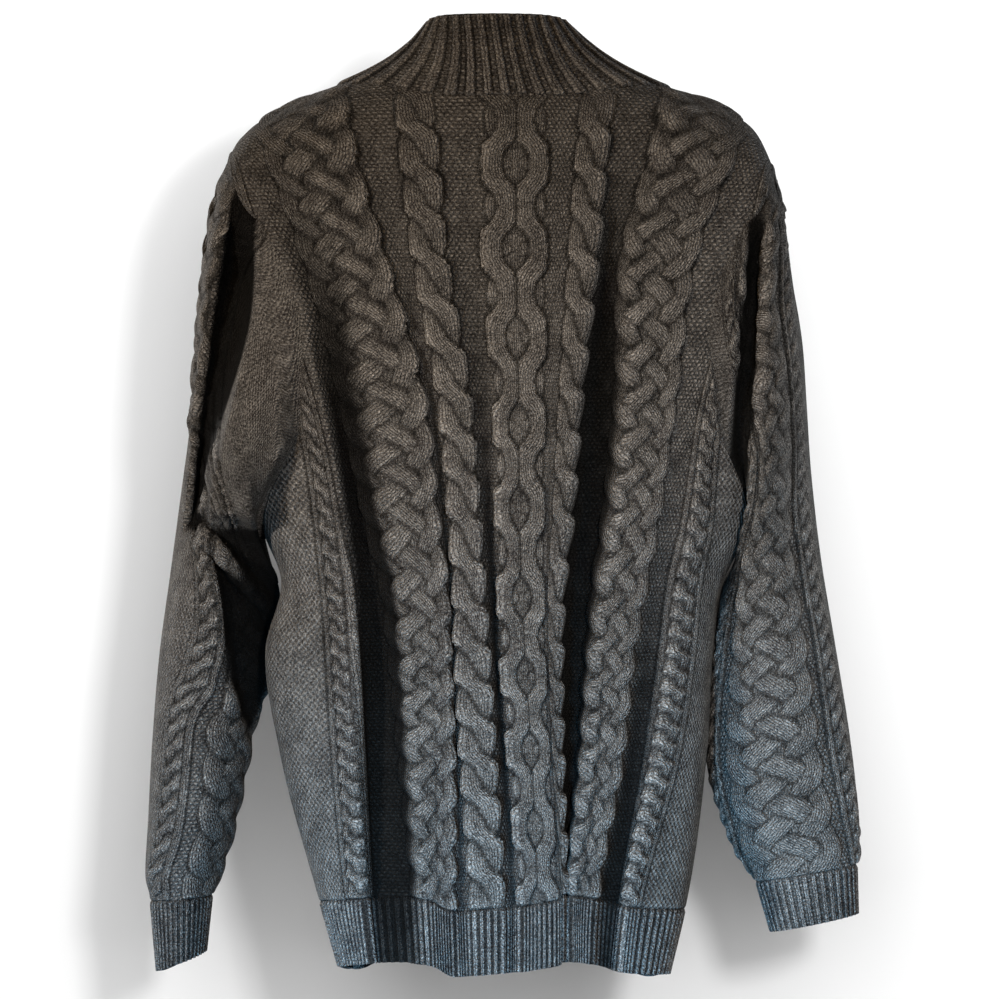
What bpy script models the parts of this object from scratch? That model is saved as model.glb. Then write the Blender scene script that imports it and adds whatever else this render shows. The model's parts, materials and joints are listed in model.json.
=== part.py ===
"""Zip-up cardigan in a cable knit: hollow, filled out as if worn, standing collar, full zip.

Metres, +Z up.  The origin is at the back neck seam, on the middle plane of the garment.
The front and its zip face -Y, the back faces +Y, and the garment's left side is +X.

Every cloth piece is one wall.  Its middle surface is a grid of points worked out from short
tables: across the body by knit column (the distance from the centre of the panel), and down
the body by drop (the distance below the back neck seam).  All the grids are laid out first.
The wall's direction at a point is then the mean over every panel that meets there, so that
neighbouring walls meet edge to edge with only the seam gap between them.
"""
import math

import bmesh
import bpy
import numpy as np

MM = 0.001

# --- driving dimensions --------------------------------------------------------------------
WALL = 3.0 * MM                  # thickness of the knitted cloth
SEAM_GAP = 0.3 * MM              # between two pieces at a seam
HALF_CLOTH = 300.0 * MM          # half the width of a laid-out body panel, centre to side seam
RIB_HEIGHT = 52.0 * MM           # hem rib
UNDERARM_DROP = 350.0 * MM       # drop of the underarm below the back neck
NECK_CLOTH = 121.0 * MM          # knit column at which the neckline meets the shoulder seam
SHOULDER_SEAM_ANGLE = math.radians(36.0)    # the seam lies this far behind the shoulder's crest
SEAM_DRIFT = 28.0 * MM           # cloth over which the seam leaves the crest, from the neck out
SECTION_POWER = 2.3              # roundness of the body's level sections

# --- body tables (mm) ----------------------------------------------------------------------
# Knit columns of the back, by their place across the laid-out panel: the right side seam, side
# rope, wide plait's outer and inner edge, rope; the middle chain; then the same to the left.
COLUMN_CLOTH = (-300, -222, -178, -112, -70, 0, 70, 112, 178, 222, 300)
# Where those columns hang, a row for each level: drop, then one X for each column.
BACK_LEVELS = (
    (0,   -262, -236, -202, -122, -72, -8, 72, 124, 206, 240, 266),
    (40,  -256, -222, -186, -114, -69, -8, 69, 118, 193, 228, 262),
    (120, -242, -206, -154, -94, -62, -8, 61, 96, 164, 204, 250),
    (240, -218, -166, -136, -86, -51, -10, 40, 64, 132, 160, 232),
    (350, -190, -152, -118, -75, -42, -11, 33, 52, 108, 142, 190),
    (380, -175, -146, -112, -70, -40, -12, 30, 48, 100, 136, 178),
    (440, -165, -136, -101, -64, -39, -14, 27, 45, 92, 129, 190),
    (520, -160, -122, -92, -59, -38, -20, 22, 42, 84, 122, 179),
    (640, -144, -98, -71, -53, -34, -25, 14, 40, 72, 114, 147),
    (700, -130, -91, -68, -53, -33, -25, 12, 38, 68, 106, 130),
)
# Deep folds of the back: cloth column at the top and at the hem, half widths in cloth towards
# the left and the right, and depth at drops of 0, 240, 460 and 690.
FOLD_DROPS = (0, 240, 460, 690)
FOLD_FADE = 18.0 * MM            # the folds die out over this much cloth beside a seam
BACK_FOLDS = (
    # top  hem  left  right  depths
    (182, 192, 26, 26, (1, 11, 20, 26)),
    (98, 98, 22, 22, (1, 10, 15, 13)),
    (42, 42, 22, 24, (1, 10, 14, 16)),
    (-90, -90, 22, 32, (1, 16, 24, 29)),
    (-186, -192, 26, 26, (1, 6, 15, 24)),
)
# Softer folds of the fronts, in the same form.
FRONT_FOLDS = (
    (96, 90, 28, 30, (0, 7, 12, 16)),
    (196, 200, 30, 26, (0, 6, 13, 18)),
    (-84, -80, 28, 26, (0, 5, 10, 13)),
    (-150, -142, 24, 28, (0, 4, 9, 14)),
    (-214, -220, 26, 26, (0, 7, 12, 17)),
)
# Depth of the level sections behind and before the middle plane, and the zip's sideways place.
DEPTH_DROPS = (0, 120, 240, 380, 520, 640, 700)
BACK_DEPTH = (84, 100, 106, 108, 112, 116, 114)
FRONT_DEPTH = (84, 104, 118, 124, 126, 120, 116)
ZIP_SIDEWAYS = (0, 0, 1, 5, 13, 24, 31)
# Crest of the shoulders above the neck seam, by distance from the middle, left and right, and
# the height over which the cloth turns from the crest to the upright.
CREST_AT = (0, 60, 100, 126, 152, 180, 206, 216, 226, 240, 266)
CREST_LEFT = (35, 31, 24, 15, 4, -9, -25, -37, -62, -120, -210)
CREST_RIGHT = (35, 31, 23, 12, 2, -10, -35, -60, -98, -150, -230)
TURN_AT = (0, 130, 183, 217, 266)
TURN_HEIGHT = (64, 60, 52, 44, 40)
# Half width of a body panel's cloth down the armhole.
ARMHOLE_DROPS = (40, 90, 103, 120, 152, 183, 240, 300, 335, 350)
ARMHOLE_CLOTH = (212, 212, 201, 198, 195, 197, 227, 256, 284, 300)
FRONT_ARMHOLE_X = (220, 204, 198, 192, 184, 180, 179, 182, 187, 190)
NARROW_FROM = 178.0 * MM         # columns outside this one crowd together up the armhole
# Drop of the bottom edge by cloth column: the back, and the fronts from the zip to the seam.
BACK_BOTTOM = (700, 694, 687, 684, 683, 690, 694, 696, 686, 688, 694)
FRONT_CLOTH = (-300, -220, -120, 0, 120, 220, 300)
FRONT_BOTTOM = (700, 706, 698, 706, 696, 700, 694)

# --- sleeve tables (mm), a row for each section from the armhole to the cuff's end ----------
# out and in: X (outwards positive) and drop of the section's outer and inner points;
# bow: how far its back and front points lean outwards; back and front: its reach in Y.
# Columns: out_x, out_drop, in_x, in_drop, bow, back, front.
LEFT_SLEEVE = (
    (220, 54, 190, 350, -38, 80, -80),
    (233, 98, 201, 350, -30, 80, -84),
    (242, 160, 204, 358, -18, 82, -90),
    (247, 212, 194, 376, -8, 74, -94),
    (252, 264, 184, 399, -2, 54, -98),
    (259, 314, 189, 428, 0, 40, -100),
    (268, 380, 191, 462, 0, 34, -100),
    (277, 446, 204, 494, 0, 30, -100),
    (283, 520, 212, 534, 0, 28, -98),
    (286, 580, 223, 586, 0, 25, -90),
    (288, 622, 233, 620, 0, 21, -80),
    (284, 643, 239, 638, 0, 17, -74),
    (279, 700, 244, 684, 0, 15, -71),
)
RIGHT_SLEEVE = (
    (217, 64, 190, 350, -38, 80, -80),
    (223, 100, 201, 350, -30, 80, -84),
    (229, 144, 202, 358, -16, 80, -94),
    (237, 194, 188, 376, -6, 74, -100),
    (241, 246, 174, 400, 0, 62, -106),
    (245, 300, 169, 430, 0, 50, -108),
    (253, 368, 166, 464, 0, 42, -106),
    (265, 440, 165, 500, 0, 34, -102),
    (276, 508, 168, 540, 0, 26, -96),
    (282, 560, 180, 578, 0, 19, -86),
    (283, 594, 193, 608, 0, 12, -74),
    (282, 614, 205, 627, 0, 7, -66),
    (283, 654, 217, 668, 0, 5, -62),
)
CUFF_ROW = 11                    # the section at which the cuff starts
# Deep crease down the back of each sleeve. Columns: drop, X of the valley, half width, depth.
LEFT_CREASE = (
    (70, 205, 8, 0),
    (110, 210, 10, 16),
    (170, 216, 13, 30),
    (232, 227, 13, 32),
    (290, 238, 12, 26),
    (345, 248, 10, 0),
)
RIGHT_CREASE = (
    (70, 200, 12, 0),
    (120, 197, 14, 14),
    (200, 196, 16, 22),
    (270, 194, 17, 12),
    (360, 188, 16, 6),
    (430, 182, 12, 0),
)
# Lobe of spare cloth behind the left underarm: its lower lip by X, and how far it stands out.
LOBE_LIP_X = (178, 190, 201, 214, 242)
LOBE_LIP_DROP = (374, 350, 343, 338, 337)
LOBE_DEPTH = 22.0 * MM
LOBE_LIP = 16.0 * MM             # height over which the lobe turns under

# --- collar, zip ---------------------------------------------------------------------------
NECK_DROP_FRONT = 62.0 * MM      # neckline at the zip, below the back neck seam
COLLAR_TOP_CENTRE = (10.5 * MM, 3.0 * MM)
COLLAR_TOP_HALF = (53.5 * MM, 55.0 * MM)
COLLAR_TOP_BACK = 67.0 * MM
COLLAR_TOP_FALL = 62.0 * MM      # how much lower the top edge is at the zip
COLLAR_HOLLOW = 5.0 * MM         # the collar's side curves in by this much
TAPE_INNER = 3.0 * MM            # a tape's edge under the teeth, from the middle of the zip
TAPE_OUTER = 10.0 * MM           # and this far behind the front's cloth
TAPE_THICK = 1.0 * MM
TAPE_BEHIND = 2.5 * MM           # from the middle of the cloth wall to the middle of the tape
TEETH_INNER = 0.15 * MM          # the two rows of teeth meet on the middle line
TEETH_OUTER = 2.6 * MM
TEETH_THICK = 2.2 * MM
BOX_LENGTH = 8.0 * MM            # retaining box at the foot of the zip
BOX_HALF = 2.6 * MM
BOX_THICK = 3.2 * MM
SLIDER_BELOW_TOP = 19.0 * MM     # foot of the slider below the zip's top end
SLIDER_LENGTH = 10.0 * MM
SLIDER_HALF = 4.2 * MM
PLATE = (1.4 * MM, 2.4 * MM)     # a slider plate's inner and outer faces from the tape
NECK_START = 7.5 * MM            # the wedge between the plates, above the foot
BRIDGE_HALF = 1.0 * MM
BRIDGE = (2.0 * MM, 8.0 * MM, 5.8 * MM)     # foot, head and top of the tab's bridge
BRIDGE_HOLE = (3.2 * MM, 6.8 * MM, 4.9 * MM)
TAB_AXIS = (5.0 * MM, 3.65 * MM)            # along the zip above the foot, and out from the tape
TAB_THICK = 1.4 * MM
TAB_OUTLINE = ((2.4, 0.7), (2.4, -7.0), (3.5, -10.0), (3.5, -23.0), (2.2, -25.0))
TAB_HOLE = ((1.5, -0.7), (1.5, -8.0))
STOP = (12.0 * MM, 14.5 * MM)    # the top stops, above the slider's foot
STOP_ACROSS = (1.0 * MM, 2.6 * MM)

# --- how finely the cloth is faceted --------------------------------------------------------
SIDE_CLOTH = (121, 140, 160, 178, 190, 203, 228, 260, 300)
LEFT_NECK_CLOTH = (0, 16, 30, 42, 55, 70, 86, 98, 110)
RIGHT_NECK_CLOTH = (16, 30, 42, 55, 66, 76, 84, 97, 108)
FRONT_NECK_CLOTH = (6, 26, 48, 72, 96)
ROWS_ABOVE = 12                  # rows of facets from the shoulder to the underarm
ROWS_BELOW = 8                   # and from the underarm to the hem rib
ROW_CROWDING = 1.15              # rows lie closer together near the shoulder
SLEEVE_STEPS = (0.0, 0.06, 0.12, 0.19, 0.26, 0.33, 0.39, 0.45, 0.51, 0.58, 0.66, 0.74, 0.82, 0.91, 1.0)
COLLAR_ROWS = 3

# --- finishes: colour, roughness, metallic --------------------------------------------------
FINISHES = {
    "charcoal_wool": ((0.060, 0.062, 0.064), 0.95, 0.0),
    "charcoal_rib": ((0.050, 0.052, 0.055), 0.95, 0.0),
    "zip_tape": ((0.030, 0.031, 0.033), 0.85, 0.0),
    "zip_metal": ((0.20, 0.19, 0.18), 0.38, 0.9),
}


# --- curves through table rows ---------------------------------------------------------------
def through(knots, values, at):
    """Value at `at` of the smooth curve through the table's rows; values may have columns."""
    knots = np.asarray(knots, float)
    values = np.asarray(values, float)
    slopes = np.gradient(values, knots, axis=0)
    at = np.clip(np.asarray(at, float), knots[0], knots[-1])
    row = np.clip(np.searchsorted(knots, at, side="right") - 1, 0, len(knots) - 2)
    span = knots[row + 1] - knots[row]
    t = (at - knots[row]) / span
    if values.ndim > 1:
        t = t[..., None]
        span = span[..., None]
    return (values[row] * (1 + 2 * t) * (1 - t) ** 2 + slopes[row] * span * t * (1 - t) ** 2
            + values[row + 1] * t * t * (3 - 2 * t) - slopes[row + 1] * span * t * t * (1 - t))


def ease(t):
    """Smooth step from 0 to 1."""
    t = np.clip(t, 0.0, 1.0)
    return t * t * (3 - 2 * t)


# --- the body's surface ------------------------------------------------------------------------
LEVEL_DROPS = np.array([row[0] for row in BACK_LEVELS]) * MM
LEVEL_X = np.array([row[1:] for row in BACK_LEVELS]) * MM
CLOTH = np.array(COLUMN_CLOTH) * MM


def back_x(cloth, drop):
    """X of a knit column of the back at a drop."""
    hung = through(LEVEL_DROPS, LEVEL_X, drop)
    slopes = np.gradient(hung, CLOTH, axis=-1)
    at = np.clip(cloth, CLOTH[0], CLOTH[-1])
    k = np.clip(np.searchsorted(CLOTH, at, side="right") - 1, 0, len(CLOTH) - 2)
    span = CLOTH[k + 1] - CLOTH[k]
    t = (at - CLOTH[k]) / span

    def pick(table, index):
        return np.take_along_axis(table, index[..., None], axis=-1)[..., 0]

    low, high = pick(hung, k), pick(hung, k + 1)
    x = (low * (1 + 2 * t) * (1 - t) ** 2 + pick(slopes, k) * span * t * (1 - t) ** 2
         + high * t * t * (3 - 2 * t) - pick(slopes, k + 1) * span * t * t * (1 - t))
    # towards the side seams the cloth rounds away
    last = len(CLOTH) - 2
    x = np.where(k == last, low + (high - low) * np.sin(t * math.pi / 2), x)
    return np.where(k == 0, high + (low - high) * np.sin((1 - t) * math.pi / 2), x)


def half_width(x, drop):
    """Half width of the level section on the side where x lies."""
    seams = through(LEVEL_DROPS, LEVEL_X[:, [0, -1]], drop)
    return np.where(x > 0, seams[..., 1], -seams[..., 0])


def crest(x):
    """Height of the shoulder's crest above the neck seam."""
    at = np.array(CREST_AT) * MM
    left = through(at, np.array(CREST_LEFT) * MM, np.abs(x))
    right = through(at, np.array(CREST_RIGHT) * MM, np.abs(x))
    return np.where(x > 0, left, right)


def turn_height(x):
    """Height over which the cloth turns from the crest to the upright."""
    return through(np.array(TURN_AT) * MM, np.array(TURN_HEIGHT) * MM, np.abs(x))


def armhole_cloth(drop):
    """Half width of a panel's cloth at a drop."""
    return through(np.array(ARMHOLE_DROPS) * MM, np.array(ARMHOLE_CLOTH) * MM, drop)


def narrowed(cloth, drop):
    """Cloth column of a grid line: outside the plaits the lines crowd inwards up the armhole."""
    edge = armhole_cloth(drop)
    out = np.maximum(np.abs(cloth) - NARROW_FROM, 0.0) / (HALF_CLOTH - NARROW_FROM)
    return np.sign(cloth) * (np.minimum(np.abs(cloth), NARROW_FROM) + out * (edge - NARROW_FROM))


def fold_depth(folds, cloth, drop):
    """How far the folds draw the cloth inwards."""
    total = np.zeros(np.broadcast(cloth, drop).shape)
    for top, hem, left, right, depths in folds:
        middle = (top + (hem - top) * ease(drop / (FOLD_DROPS[-1] * MM))) * MM
        away = cloth - middle
        reach = np.where(away > 0, left, right) * MM
        depth = through(np.array(FOLD_DROPS) * MM, np.array(depths) * MM, drop)
        total = total + depth * (1 - np.clip(away / reach, -1, 1) ** 2) ** 1.5
    edge = armhole_cloth(drop)
    return total * ease((edge - np.abs(cloth)) / FOLD_FADE)


def front_x(cloth, drop):
    """X of a knit column of the fronts; at the shoulders it is the back's."""
    seams = through(LEVEL_DROPS, LEVEL_X[:, [0, -1]], drop)
    armhole = through(np.array(ARMHOLE_DROPS) * MM, np.array(FRONT_ARMHOLE_X) * MM, drop)
    edge = np.where(drop < UNDERARM_DROP, np.sign(cloth) * armhole,
                    np.where(cloth > 0, seams[..., 1], seams[..., 0]))
    middle = through(np.array(DEPTH_DROPS) * MM, np.array(ZIP_SIDEWAYS) * MM, drop)
    turn = np.abs(cloth) / HALF_CLOTH * math.pi / 2
    edge_turn = armhole_cloth(drop) / HALF_CLOTH * math.pi / 2
    round_x = middle + (edge - middle) * np.sin(turn) / np.sin(edge_turn)
    shoulder = back_x(cloth, np.full(np.shape(cloth), 30.0 * MM))
    shoulder = np.where(np.abs(cloth) < 110 * MM, cloth * 1.09, shoulder)
    return shoulder + (round_x - shoulder) * ease((drop - 20 * MM) / (160 * MM))


def body(side, cloth, drop):
    """Point of the body: side +1 is the back and -1 a front.  Down the upright cloth `drop` is
    the drop itself; over the shoulder it goes on as the distance along the cloth."""
    cloth = np.asarray(cloth, float)
    drop = np.asarray(drop, float) + 0.0 * cloth
    cloth = cloth + 0.0 * drop
    x = back_x(cloth, drop) if side > 0 else front_x(cloth, drop)
    top = crest(x)
    turn = turn_height(x)
    along = top - turn + turn * math.pi / 2 + drop
    angle = np.clip(along / turn, -math.pi / 2, math.pi / 2) * side
    z = top - turn * (1 - np.cos(angle)) - np.maximum(along - turn * math.pi / 2, 0.0)
    q = np.clip(np.abs(x) / half_width(x, -z), 0.0, 1.0)
    rim = (1 - q ** SECTION_POWER) ** (1 / SECTION_POWER)
    depths = np.where(angle > 0,
                      through(np.array(DEPTH_DROPS) * MM, np.array(BACK_DEPTH) * MM, -z),
                      through(np.array(DEPTH_DROPS) * MM, np.array(FRONT_DEPTH) * MM, -z))
    folds = fold_depth(BACK_FOLDS if side > 0 else FRONT_FOLDS, cloth, drop)
    folds = folds * ease((along - 0.6 * turn) / (60 * MM))
    y = (depths * rim) * np.sin(angle) - folds * side * ease((1 - q) / 0.12)
    return np.stack([x, y, z], axis=-1)


def top_drop(side, cloth):
    """Drop at which a column meets the neckline or the shoulder seam."""
    cloth = np.asarray(cloth, float)
    drop = np.zeros(cloth.shape)
    for _ in range(12):
        inside = narrowed(cloth, drop)
        x = back_x(inside, drop) if side > 0 else front_x(inside, drop)
        top, turn = crest(x), turn_height(x)
        q = np.clip(np.abs(cloth) / NECK_CLOTH, 0.0, 1.0)
        scoop = (1 - q ** 4) if side > 0 else (1 - q ** 1.3) ** 1.1
        neck = top - (top + (0.0 if side > 0 else NECK_DROP_FRONT)) * scoop
        fall = np.maximum(top - neck, 0.0)
        bend = np.arccos(np.clip(1 - fall / turn, 0.0, 1.0))
        on_neck = turn * bend + np.maximum(fall - turn, 0.0)
        lean = SHOULDER_SEAM_ANGLE * ease((np.abs(cloth) - NECK_CLOTH) / SEAM_DRIFT)
        along = np.where(np.abs(cloth) < NECK_CLOTH, on_neck, turn * lean * side)
        drop = 0.5 * drop + 0.5 * (along - (top - turn + turn * math.pi / 2))
    return drop


def bottom_drop(side, cloth):
    """Drop of the bottom edge at a column."""
    if side > 0:
        return through(CLOTH, np.array(BACK_BOTTOM) * MM, cloth)
    return through(np.array(FRONT_CLOTH) * MM, np.array(FRONT_BOTTOM) * MM, cloth)


def body_grid(side, cloth):
    """Rows of points down a panel, from its top edge to the hem rib, for the given columns."""
    cloth = np.asarray(cloth, float) * MM
    start = top_drop(side, cloth)
    end = bottom_drop(side, cloth) - RIB_HEIGHT
    rows = []
    for i in range(ROWS_ABOVE + 1):
        drop = start + (UNDERARM_DROP - start) * (i / ROWS_ABOVE) ** ROW_CROWDING
        rows.append(body(side, narrowed(cloth, drop), drop))
    for i in range(1, ROWS_BELOW + 1):
        drop = UNDERARM_DROP + (end - UNDERARM_DROP) * i / ROWS_BELOW
        rows.append(body(side, cloth, drop))
    return np.array(rows)


def rib_grid(side, cloth):
    """The hem rib's two rows."""
    cloth = np.asarray(cloth, float) * MM
    end = bottom_drop(side, cloth)
    return np.array([body(side, cloth, end - RIB_HEIGHT), body(side, cloth, end)])


# --- the sleeves' surface ------------------------------------------------------------------------
def armhole_ring(back_grid, front_grid, hand):
    """The armhole's points: down the back panel's edge, then up the front panel's."""
    edge = -1 if hand > 0 else 0
    down = back_grid[:ROWS_ABOVE + 1, edge]
    up = front_grid[:ROWS_ABOVE + 1, edge][::-1]
    return np.concatenate([down, up[1:-1]])


def sleeve_section(table, hand, turn, row):
    """Point of the sleeve's plain form: turn goes round from the outer line over the back."""
    values = through(np.arange(len(table)), np.array(table, float) * MM, row)
    out_x, out_drop, in_x, in_drop, bow, back, front = np.moveaxis(values, -1, 0)
    cos, sin = np.cos(turn), np.sin(turn)
    x = (out_x + in_x) / 2 + (out_x - in_x) / 2 * cos + bow * sin * sin
    z = -(out_drop + in_drop) / 2 - (out_drop - in_drop) / 2 * cos
    y = (back + front) / 2 + (back - front) / 2 * sin
    return np.stack([hand * x, y, z], axis=-1)


def sleeve_folds(point, hand, turn):
    """How far the crease and the underarm lobe move the sleeve's back in Y."""
    x, drop = point[..., 0] * hand, -point[..., 2]
    crease = np.array(LEFT_CREASE if hand > 0 else RIGHT_CREASE, float) * MM
    valley = through(crease[:, 0], crease[:, 1:], drop)
    inside = (drop > crease[0, 0]) & (drop < crease[-1, 0]) & (np.sin(turn) > 0)
    away = np.clip((x - valley[..., 0]) / valley[..., 1], -1, 1)
    move = -np.where(inside, valley[..., 2] * 0.5 * (1 + np.cos(math.pi * away)), 0.0)
    if hand > 0:
        lip = through(np.array(LOBE_LIP_X) * MM, np.array(LOBE_LIP_DROP) * MM, x)
        above = ease((lip - drop) / LOBE_LIP) * ease((drop - 180 * MM) / (110 * MM))
        inner = ease((valley[..., 0] + 6 * MM - x) / (12 * MM)) * ease(np.sin(turn) / 0.6)
        move = move + LOBE_DEPTH * above * inner
    return move


def sleeve_grid(hand, ring):
    """Rows of points from the armhole to the cuff."""
    table = LEFT_SLEEVE if hand > 0 else RIGHT_SLEEVE
    turn = np.arange(len(ring)) / len(ring) * 2 * math.pi
    plain = sleeve_section(table, hand, turn, np.zeros(len(ring)))
    rows = [ring]
    for step in SLEEVE_STEPS[1:]:
        row = np.full(len(ring), step * CUFF_ROW)
        point = sleeve_section(table, hand, turn, row)
        point = point + (ring - plain) * (1 - ease(step / 0.24))
        point[:, 1] += sleeve_folds(point, hand, turn) * ease(step / 0.1)
        rows.append(point)
    return np.array(rows)


def cuff_grid(hand, ring):
    """The cuff's two rows, the first of them the sleeve's last."""
    table = LEFT_SLEEVE if hand > 0 else RIGHT_SLEEVE
    turn = np.arange(len(ring)) / len(ring) * 2 * math.pi
    end = sleeve_section(table, hand, turn, np.full(len(ring), CUFF_ROW + 1.0))
    return np.array([ring, end])


# --- the collar's surface -----------------------------------------------------------------------
def collar_grid(base):
    """Rows of points from the neckline up to the collar's top edge."""
    centre_x, centre_y = COLLAR_TOP_CENTRE
    turn = np.arctan2(base[:, 0], base[:, 1] - centre_y)
    front = (1 - np.cos(turn)) / 2
    fall = front ** 3
    top = np.stack([centre_x * (1 - front) + COLLAR_TOP_HALF[0] * np.sin(turn),
                    centre_y + COLLAR_TOP_HALF[1] * np.cos(turn),
                    COLLAR_TOP_BACK - COLLAR_TOP_FALL * fall], axis=-1)
    # the two front edges stay a zip's width apart
    top[0, 0] = base[0, 0]
    top[-1, 0] = base[-1, 0]
    rows = []
    for i in range(COLLAR_ROWS + 1):
        t = i / COLLAR_ROWS
        point = base + (top - base) * t
        hollow = COLLAR_HOLLOW * math.sin(math.pi * t)
        point[:, 0] -= hollow * np.sin(turn)
        point[:, 2] -= hollow * 0.6 * np.abs(np.sin(turn))
        rows.append(point)
    return np.array(rows)


# --- walls from grids ---------------------------------------------------------------------------
RIM_ORDER = np.array([0.31, 0.17, 1.0])     # sorts the corners of a rim, lowest first


def corner_key(point):
    return tuple(np.round(point / (0.01 * MM)).astype(int))


def add_normals(shared, grid, closed):
    """Add a grid's facet normals to the shared directions of its points."""
    across = grid.shape[1] if closed else grid.shape[1] - 1
    for i in range(grid.shape[0] - 1):
        for j in range(across):
            k = (j + 1) % grid.shape[1]
            corners = (grid[i, j], grid[i + 1, j], grid[i + 1, k], grid[i, k])
            normal = np.cross(corners[2] - corners[0], corners[3] - corners[1])
            for corner in corners:
                key = corner_key(corner)
                shared[key] = shared.get(key, np.zeros(3)) + normal


def drawn_in(grid, edges, closed):
    """The grid with its sewn edges drawn in by half the seam gap."""
    grid = grid.copy()

    def pull(edge, inner):
        step = inner - edge
        length = np.linalg.norm(step, axis=-1, keepdims=True)
        return edge + step / np.maximum(length, 1e-9) * SEAM_GAP / 2

    if "top" in edges:
        grid[0] = pull(grid[0], grid[1])
    if "bottom" in edges:
        grid[-1] = pull(grid[-1], grid[-2])
    if not closed and "first" in edges:
        grid[:, 0] = pull(grid[:, 0], grid[:, 1])
    if not closed and "last" in edges:
        grid[:, -1] = pull(grid[:, -1], grid[:, -2])
    return grid


def wall_mesh(name, grid, normals, thickness, closed=False):
    """A closed wall of the given thickness on a grid of points."""
    rows, columns = grid.shape[:2]
    bm = bmesh.new()
    outer = [[bm.verts.new(grid[i, j] + normals[i, j] * thickness / 2) for j in range(columns)]
             for i in range(rows)]
    inner = [[bm.verts.new(grid[i, j] - normals[i, j] * thickness / 2) for j in range(columns)]
             for i in range(rows)]
    across = columns if closed else columns - 1

    def rim(a, b):
        """Close the wall's edge between two grid places, split the same way on both sides of a
        seam: from the outer corner of the lower place to the inner corner of the other."""
        if grid[a] @ RIM_ORDER > grid[b] @ RIM_ORDER:
            a, b = b, a
        corners = (outer[a[0]][a[1]], outer[b[0]][b[1]], inner[b[0]][b[1]], inner[a[0]][a[1]])
        bm.faces.new((corners[0], corners[1], corners[2]))
        bm.faces.new((corners[0], corners[2], corners[3]))

    for i in range(rows - 1):
        for j in range(across):
            k = (j + 1) % columns
            bm.faces.new((outer[i][j], outer[i + 1][j], outer[i + 1][k], outer[i][k]))
            bm.faces.new((inner[i][k], inner[i + 1][k], inner[i + 1][j], inner[i][j]))
    for i in (0, rows - 1):
        for j in range(across):
            rim((i, j), (i, (j + 1) % columns))
    if not closed:
        for j in (0, columns - 1):
            for i in range(rows - 1):
                rim((i, j), (i + 1, j))
    bmesh.ops.triangulate(bm, faces=[face for face in bm.faces if len(face.verts) > 3])
    bmesh.ops.recalc_face_normals(bm, faces=bm.faces[:])
    mesh = bpy.data.meshes.new(name)
    bm.to_mesh(mesh)
    bm.free()
    mesh.shade_smooth()
    return mesh


def finish(name):
    """The named finish as a material, made once."""
    if name in bpy.data.materials:
        return bpy.data.materials[name]
    colour, roughness, metallic = FINISHES[name]
    material = bpy.data.materials.new(name)
    material.use_nodes = True
    shader = material.node_tree.nodes["Principled BSDF"]
    shader.inputs["Base Color"].default_value = (*colour, 1.0)
    shader.inputs["Roughness"].default_value = roughness
    shader.inputs["Metallic"].default_value = metallic
    return material


def place(name, mesh, material, location=(0, 0, 0)):
    """Put a mesh in the scene as a named object."""
    mesh.materials.append(finish(material))
    item = bpy.data.objects.new(name, mesh)
    item.location = location
    bpy.context.scene.collection.objects.link(item)
    return item


# --- the garment's cloth -------------------------------------------------------------------------
def cloth_grids():
    """All the cloth pieces as grids of points, with their closed flag, seams and finish."""
    side_left = np.array(SIDE_CLOTH)
    neck_right = -np.array(RIGHT_NECK_CLOTH)[::-1]
    back_cloth = np.concatenate([-side_left[::-1], neck_right, LEFT_NECK_CLOTH, side_left])
    front_left_cloth = np.concatenate([FRONT_NECK_CLOTH, side_left])
    front_right_cloth = -front_left_cloth[::-1]

    back = body_grid(1, back_cloth)
    front_left = body_grid(-1, front_left_cloth)
    front_right = body_grid(-1, front_right_cloth)
    # the fronts take the back's own points along the shoulder and side seams
    shoulder = len(side_left)
    front_left[0, -shoulder:] = back[0, -shoulder:]
    front_right[0, :shoulder] = back[0, :shoulder]
    front_left[ROWS_ABOVE:, -1] = back[ROWS_ABOVE:, -1]
    front_right[ROWS_ABOVE:, 0] = back[ROWS_ABOVE:, 0]

    rib_back = rib_grid(1, back_cloth)
    rib_left = rib_grid(-1, front_left_cloth)
    rib_right = rib_grid(-1, front_right_cloth)
    for rib, panel in ((rib_back, back), (rib_left, front_left), (rib_right, front_right)):
        rib[0] = panel[-1]
    rib_left[:, -1] = rib_back[:, -1]
    rib_right[:, 0] = rib_back[:, 0]

    ring_left = armhole_ring(back, front_left, 1)
    ring_right = armhole_ring(back, front_right, -1)
    sleeve_left = sleeve_grid(1, ring_left)
    sleeve_right = sleeve_grid(-1, ring_right)

    # round the neck from the left front's edge, over the back, to the right front's edge
    neck = len(FRONT_NECK_CLOTH)
    base = np.concatenate([front_left[0, :neck], back[0, shoulder - 1:len(back_cloth) - shoulder + 1][::-1],
                           front_right[0, -neck:]])
    collar = collar_grid(base)

    knit, rib = "charcoal_wool", "charcoal_rib"
    all_round = ("top", "bottom", "first", "last")
    return {
        "back": (back, False, all_round, knit),
        "front_left": (front_left, False, ("top", "bottom", "last"), knit),
        "front_right": (front_right, False, ("top", "bottom", "first"), knit),
        "hem_rib_back": (rib_back, False, ("top", "first", "last"), rib),
        "hem_rib_front_left": (rib_left, False, ("top", "last"), rib),
        "hem_rib_front_right": (rib_right, False, ("top", "first"), rib),
        "sleeve_left": (sleeve_left, True, ("top", "bottom"), knit),
        "sleeve_right": (sleeve_right[:, ::-1], True, ("top", "bottom"), knit),
        "cuff_left": (cuff_grid(1, sleeve_left[-1]), True, ("top",), rib),
        "cuff_right": (cuff_grid(-1, sleeve_right[-1])[:, ::-1], True, ("top",), rib),
        "collar": (collar[::-1], False, ("bottom",), rib),
    }


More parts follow.
